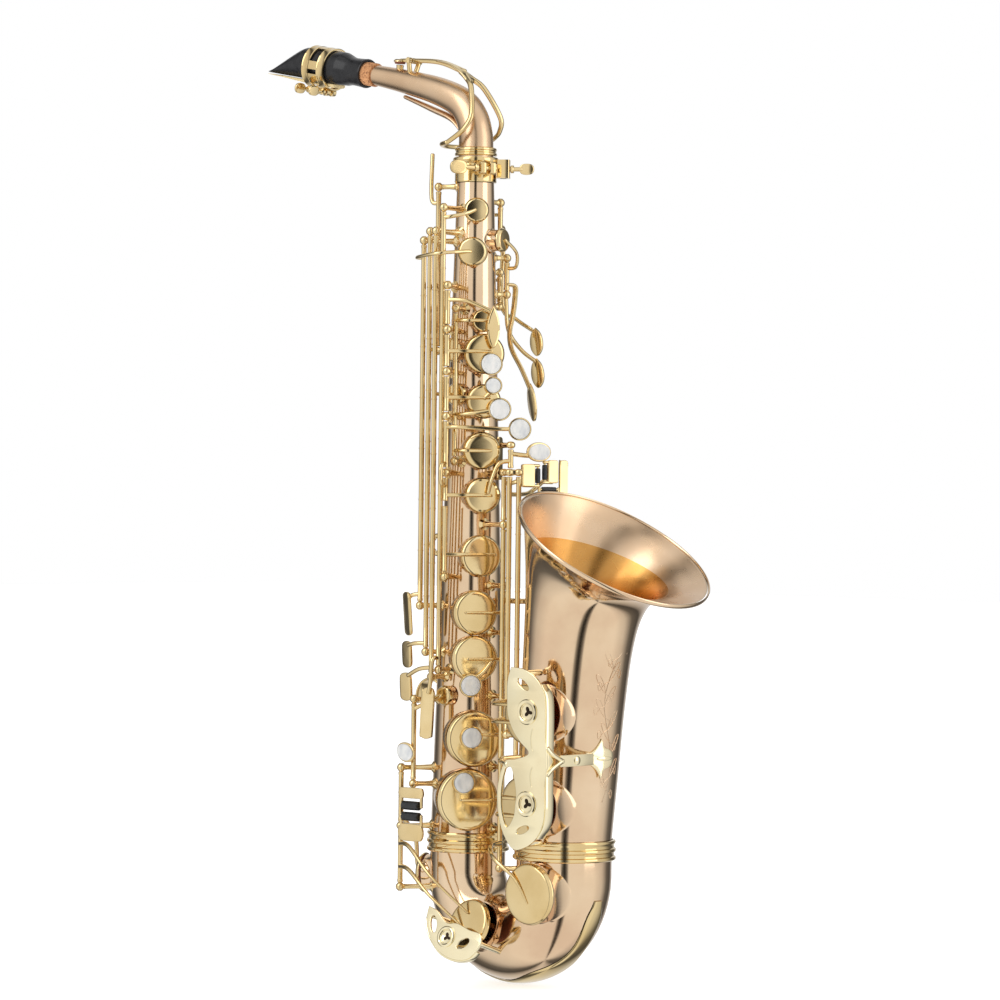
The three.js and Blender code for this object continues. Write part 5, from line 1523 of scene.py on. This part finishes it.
def build_pinky():
    hinge = (PINKY_ROD[0], -PINKY_ROD[1])
    side = frame_at(SIDE_PHI)
    key = Key("low_e_flat_key", side)
    key.add(
        hinge_tube(hinge, 107.4, 142), pinky_plate(124.6, 132, 3.2),
        reach(1.6, 1.5, (hinge[0], 127, hinge[1]), (-21, 127, 45)),
    )
    key.add(*roller_fork(ROLLER["e_flat_roller"][0], (0, 1, 0)))
    rear = e_flat_frame()
    top = LOW_E_FLAT["rim"] + GAP + UPPER["th"]
    add_cup(key, LOW_E_FLAT, UPPER["th"], rear)
    over_cup = [tuple(rear @ Vector(p)) for p in ((4, 76, top + 1.6), (-4, 70, top + 0.7))]
    link = [(*PINKY_ROD, 113), (-34.5, -31, 110), (-31, -21, 96), *over_cup]
    key.add(sweep(link, 1.7, 1.5), matrix=Matrix.Identity(4))
    key.build()
    closed = turned(side, hinge, -LOW_C["open"])
    swing = closed @ side.inverted()
    seat = bow_frame(LOW_C["angle"], LOW_C["roll"])
    key = Key("low_c_key", closed)
    key.add(hinge_tube(hinge, 65, 101.6))
    add_cup(key, LOW_C, SIDE_TH, swing @ seat)
    for (x, y), *path in (
        ((-2, 7), (*PINKY_ROD, 92), (-12, -45, 91), (12, -47, 73)),
        ((-3, -3), (*PINKY_ROD, 76), (-12, -45, 75), (10, -46.5, 60)),
    ):
        on_cup = seat @ Vector((x, y, LOW_C["rim"] + GAP + 5.6))
        key.add(sweep([*path, tuple(on_cup)], 1.9, 0.8), matrix=swing)
    key.add(pinky_plate(95, 107, 4.5), matrix=side)
    key.add(*roller_fork(ROLLER["low_c_roller"][0], (0, -1, 0)), matrix=side)
    key.add(reach(1.6, 1.5, (hinge[0], 98, hinge[1]), (-21, 98, 45)), matrix=side)
    key.build()


# ---------- guards ----------
# A felt bumper's adjuster: a raised ring, the dished screw inside it and the screw's three-lobed socket,
# drawn as a thin dark plate of painted shade where the recess is.
def adjuster(x, y, face, outer):
    inner = outer * 0.66
    ring = [
        (inner, face - 1.4), (outer - 0.6, face - 1.4), (outer, face - 0.4), (outer, face + 0.5),
        (outer - 0.7, face + 1.2), (inner + 1.2, face + 1.3), (inner + 0.3, face + 0.8),
        (inner, face - 0.2),
    ]
    dish = [
        (0, face - 1.8), (inner + 0.2, face - 1.8), (inner + 0.1, face - 0.6),
        (inner * 0.6, face - 1.1), (0, face - 1.3),
    ]
    at = offset(x, y, 0)
    size = inner * 0.42
    lobes = []
    for t in circle(36):
        reach_out = size * (1 + 0.55 * math.cos(3 * t + 0.6))
        lobes.append((reach_out * math.cos(t), reach_out * math.sin(t)))
    # The socket: a thin lobed plate that carries the recess's painted shade.
    socket = moved(rounded_plate(lobes, face - 1.5, face - 0.75, 0.15, 0.0, 1), at)
    felt = moved(
        lathe(
            [(0, face - 5.4), (4.4, face - 5.4), (4.6, face - 5.0), (4.6, face - 1.9), (0, face - 1.9)],
            36,
        ),
        at,
    )
    return [moved(lathe(ring, 56, closed=True), at), moved(lathe(dish, 48), at)], socket, felt


# A strip standing on edge along a path of (x, y), from height z0 to z1.
def standing_strip(points, z0, z1, thick):
    path = smooth_path(points, 5)
    section = block(0, (z0 + z1) / 2, thick, z1 - z0, thick * 0.45)
    rings = []
    for i, (x, y) in enumerate(path):
        ahead, behind = path[min(i + 1, len(path) - 1)], path[max(i - 1, 0)]
        way = Vector((ahead[0] - behind[0], ahead[1] - behind[1])).normalized()
        rings.append([(x - way.y * across, y + way.x * across, z) for across, z in section])
    return skin(rings)


def guard(name, outlines, face, matrix, bosses, extra, local_extra):
    mid_plate = matrix @ offset(0, 0, face + 0.9)
    fitted = [adjuster(x, y, face + 1.9, outer) for x, y, outer in bosses]
    outlines = [*outlines, *[oval(x, y, outer * 0.6, outer * 0.6) for x, y, outer in bosses]]
    shapes = [moved(shape, matrix) for metal, _, _ in fitted for shape in metal]
    shapes += [moved(shape, matrix) for shape in local_extra] + list(extra)
    look(name, [cut_plate(outlines, 1.9, 0.45, mid_plate), *shapes], "guard")
    # The sockets' dark plates are painted shade for the screws' recesses.
    make(name + "_sockets", "body", [moved(socket, matrix) for _, socket, _ in fitted], "socket_shade")
    make(name + "_felts", "body", [moved(felt, matrix) for _, _, felt in fitted], "felt")


BELL_GUARD_FACE = 61
BELL_GUARD_EDGE = [
    (94.5, 220), (104.5, 219.3), (113.5, 215.8), (120.5, 210), (124.5, 202), (125.5, 190), (125.5, 172),
    (127, 163), (127, 151), (125.5, 142), (125.5, 124), (123.5, 114.5), (118, 106), (109, 100),
    (98, 98), (89, 108), (84.4, 121), (83.2, 135), (85.5, 147.5), (90.5, 157), (99, 158.5), (111, 163),
    (103, 170.5), (96.5, 178), (92, 188), (91.3, 198), (91.5, 211),
]
BELL_GUARD_CUTS = [
    oval(105.4, 208.8, 6.0, 2.4, -34), oval(106.3, 111.5, 6.0, 2.4, 20),
    [
        (90.5, 152), (88, 144), (86.6, 134), (87.6, 122), (92, 112.5), (98, 119.5), (99.5, 128),
        (100, 137), (96, 152),
    ],
]
BELL_GUARD_LEGS = [(100, 216, 39), (99, 101, 36.2)]
STAR_PHI, STAR_Z, STAR_CENTRE = -13, 158, 92.9
LOW_C_GUARD_FACE = 50.4
LOW_C_EDGE = [
    (-31, 1), (-29, -8), (-20.5, -19.5), (-8, -26.5), (6, -28), (18, -24), (23.5, -14), (21, -6),
    (10, -5.5), (-2, -4), (-11, -6), (-22, -0.5),
]
LOW_C_CUTS = [oval(-21.6, -9.6, 6.2, 2.6, -62), oval(9, -15.5, 5.6, 3.0, 42)]


# The star lies on the bell: its flat outline is wrapped round the sheet.
def star_shape():
    half = [(0, 13.4), (1.3, 10.2), (3.4, 7.4), (7, 6.2), (10.6, 4.0), (11.6, 0)]
    left = [(-11.5, 3.6), (-7.6, 4.4), (-3.6, 7.4), (-1.0, 11)]
    outline = [*half, *[(x, -y) for x, y in half[-2::-1]], *[(x, -y) for x, y in left[::-1]], *left]
    ridge = rounded_plate(oval(3, 0, 6.5, 1.5), 1.4, 2.6, 0.6, 0.2)
    wrapped = []
    for points, faces in (rounded_plate(outline, 0.2, 1.9, 0.5), ridge):
        bent = []
        for x, y, lift in points:
            _, _, _, r = bell_section(STAR_Z + y)
            a = math.radians(STAR_PHI) + x / (r + 0.8)
            bent.append((STAR_CENTRE + (r + lift) * math.cos(a), (r + lift) * math.sin(a), STAR_Z + y))
        wrapped.append((bent, faces))
    return wrapped


def build_guards():
    face, side = BELL_GUARD_FACE, frame_at(SIDE_PHI)
    parts = [sweep([(x, y, start), (x, y, face + 0.4)], 2.2, 1.9) for x, y, start in BELL_GUARD_LEGS]
    outside = [
        (121.2, 209), (124.9, 202), (126, 190), (126, 172), (126, 142), (126, 124), (124, 114),
        (119, 106.4),
    ]
    parts.append(standing_strip(outside, face - 6.4, face + 1.1, 1.5))
    for x, y, reach_y in ((115.6, 172, 7.4), (115.4, 147, 6.8)):
        crescent = [
            (x + 2.6 * math.cos(t), y + reach_y * math.sin(t), face + 1.75)
            for t in (1.75, 2.3, math.pi, 4.0, 4.55)
        ]
        parts.append(sweep(crescent, 0.45, 0.45, 10))
    for y in (167, 149):
        parts.append(
            sweep(
                [(126, y, face - 0.4), (127, lerp(y, STAR_Z, 0.45), 56.5), (127.8, STAR_Z, 47)],
                2.3, 2.1, 14, 0.7,
            )
        )
    strap = []
    for x, z in smooth_path([(127.6, 50), (128.4, 40), (128.6, 28), (127.6, 16)], 4):
        strap.append(
            [(x + across, STAR_Z + along_y, z) for across, along_y in block(0, 0, 1.7, 8, 0.7)]
        )
    parts.append(skin(strap))
    parts.append(
        turned_bar(
            (128, STAR_Z, 34), (130.6, STAR_Z, 34),
            [(2.9, 0, 0), (2.9, 1, -0.8), (2.1, 1, -0.2), (0, 1, 0)],
        )
    )
    parts.append(
        sweep([(91.6, 154.6, face + 0.8), (80, 156, 55), (77, 157, 50), (75.6, 157, 31.5)], 2.0, 2.0)
    )
    guard(
        "bell_key_guard",
        [BELL_GUARD_EDGE, *BELL_GUARD_CUTS],
        face, side,
        [(109.5, 190.5, 8.6), (109.5, 129, 8.6)],
        star_shape(), parts,
    )
    low = bow_frame(LOW_C["angle"], LOW_C["roll"])
    feet = ((-27, -4.5), (20, -12))
    legs = [sweep([(x, y, 18), (x, y, LOW_C_GUARD_FACE + 0.4)], 2.0, 1.9) for x, y in feet]
    rim = [(-30, -5), (-28, -12), (-20.5, -19.9), (-8, -26.9), (6, -28.4), (18, -24.4), (22.4, -18)]
    legs.append(standing_strip(rim, LOW_C_GUARD_FACE - 3, LOW_C_GUARD_FACE + 1.3, 1.6))
    guard("low_c_guard", [LOW_C_EDGE, *LOW_C_CUTS], LOW_C_GUARD_FACE, low, [(-7, -15, 7.4)], [], legs)


# ---------- build ----------
build_body()
build_bow()
ferrule("body_ferrule", 0, BOW_R_BODY)
ferrule("bell_ferrule", BELL_FOOT_X, BOW_R_BELL + 0.2)
look("bow_plate", [bow_plate()], "gold")
build_bell()
bell_engraving()
build_strap_ring()
build_thumb_hook()
build_thumb_rest()
build_brace()
build_receiver()
build_screws()
build_neck()
build_mouthpiece()
build_ligature()
build_octave_keys()
build_upper_stack()
build_lower_stack()
build_side_keys()
build_table()
build_low_keys()
build_pinky()
build_guards()


# ---------- floor, light and camera ----------
def build_stage():
    low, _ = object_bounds()
    mesh = bpy.data.meshes.new("floor")
    size, z = FLOOR_REACH, low.z - FLOOR_DROP
    mesh.from_pydata(
        [(-size, -size, z), (size, -size, z), (size, size, z), (-size, size, z)], [], [(0, 1, 2, 3)]
    )
    floor = bpy.data.objects.new("floor", mesh)
    bpy.context.scene.collection.objects.link(floor)
    material, tree, coord, shader = new_material("floor_paper")
    color = ramp(
        tree, noise(tree, coord, 40, 3), [(0.3, (0.93, 0.93, 0.93)), (0.7, (0.96, 0.96, 0.96))]
    )
    tree.links.new(color, shader.inputs["Base Color"])
    shader.inputs["Roughness"].default_value = 0.9
    shader.inputs["Emission Color"].default_value = (1, 1, 1, 1)
    shader.inputs["Emission Strength"].default_value = 0.6
    floor.data.materials.append(material)
    floor.visible_glossy = False


def camera_way(azimuth):
    a = math.radians(azimuth)
    return Vector((math.sin(a), -math.cos(a), 0))


def area_light(name, azimuth, away, height, size, energy):
    place = camera_way(azimuth) * away + Vector((0, 0, height))
    data = bpy.data.lights.new(name, "AREA")
    data.shape = "RECTANGLE"
    data.size, data.size_y = size
    data.energy = energy
    made = bpy.data.objects.new(name, data)
    made.location = place
    made.rotation_euler = (Vector(LIGHT_AIM) - place).to_track_quat("-Z", "Y").to_euler()
    bpy.context.scene.collection.objects.link(made)


# Brightness of the studio round the camera, from dead behind the instrument (0) to the camera (1):
# a white tent with a dark cloth behind the instrument and a narrow dark opening at the camera.
TENT = [
    (0.0, 0.80), (0.03, 0.60), (0.10, 0.08), (0.22, 0.16), (0.38, 0.72), (0.60, 0.98), (0.9935, 0.96),
    (0.9975, 0.02),
]


def vector_math(tree, operation, source, operand=None):
    made = add_node(tree, "VectorMath", {} if operand is None else {1: operand}, {0: source})
    made.operation = operation
    return made


def build_world():
    world = bpy.data.worlds.new("studio")
    bpy.context.scene.world = world
    world.use_nodes = True
    tree = world.node_tree
    tree.nodes.clear()
    coord = add_node(tree, "TexCoord")
    flat = vector_math(tree, "MULTIPLY", coord.outputs["Generated"], (1, 1, 0))
    unit = vector_math(tree, "NORMALIZE", flat.outputs["Vector"])
    facing = vector_math(tree, "DOT_PRODUCT", unit.outputs["Vector"], camera_way(CAMERA_AZIMUTH))
    scaled = add_node(
        tree, "MapRange", {"From Min": -1, "From Max": 1}, {"Value": facing.outputs["Value"]}
    )
    tent = ramp(tree, scaled.outputs["Result"], [(place, (grey, grey, grey)) for place, grey in TENT])
    soft = add_node(tree, "Background", {"Strength": 1.0}, {"Color": tent})
    white = add_node(tree, "Background", {"Color": (1, 1, 1, 1)})
    rays = add_node(tree, "LightPath")
    sides = {
        "Fac": rays.outputs["Is Camera Ray"],
        1: soft.outputs["Background"],
        2: white.outputs["Background"],
    }
    mix = add_node(tree, "MixShader", feeds=sides)
    add_node(tree, "OutputWorld", feeds={"Surface": mix.outputs["Shader"]})


def build_camera():
    data = bpy.data.cameras.new("camera")
    data.lens = LENS
    data.sensor_width = SENSOR
    camera = bpy.data.objects.new("camera", data)
    bpy.context.scene.collection.objects.link(camera)
    way = camera_way(CAMERA_AZIMUTH)
    right = Vector((math.cos(math.radians(CAMERA_AZIMUTH)), math.sin(math.radians(CAMERA_AZIMUTH)), 0))
    aim = Vector((SHIFT.x * MM, 0, AIM_UP)) + right * AIM_RIGHT
    camera.location = aim + way * CAMERA_DISTANCE
    look = (-way).to_track_quat("-Z", "Y").to_matrix().to_4x4()
    camera.rotation_euler = (look @ Matrix.Rotation(math.radians(CAMERA_ROLL), 4, "Z")).to_euler()
    bpy.context.scene.camera = camera


build_stage()
build_world()
build_camera()
for light_name, (light_turn, *light_values) in LIGHTS.items():
    area_light(light_name, CAMERA_AZIMUTH + light_turn, *light_values)
bpy.context.scene.view_settings.view_transform = "Standard"
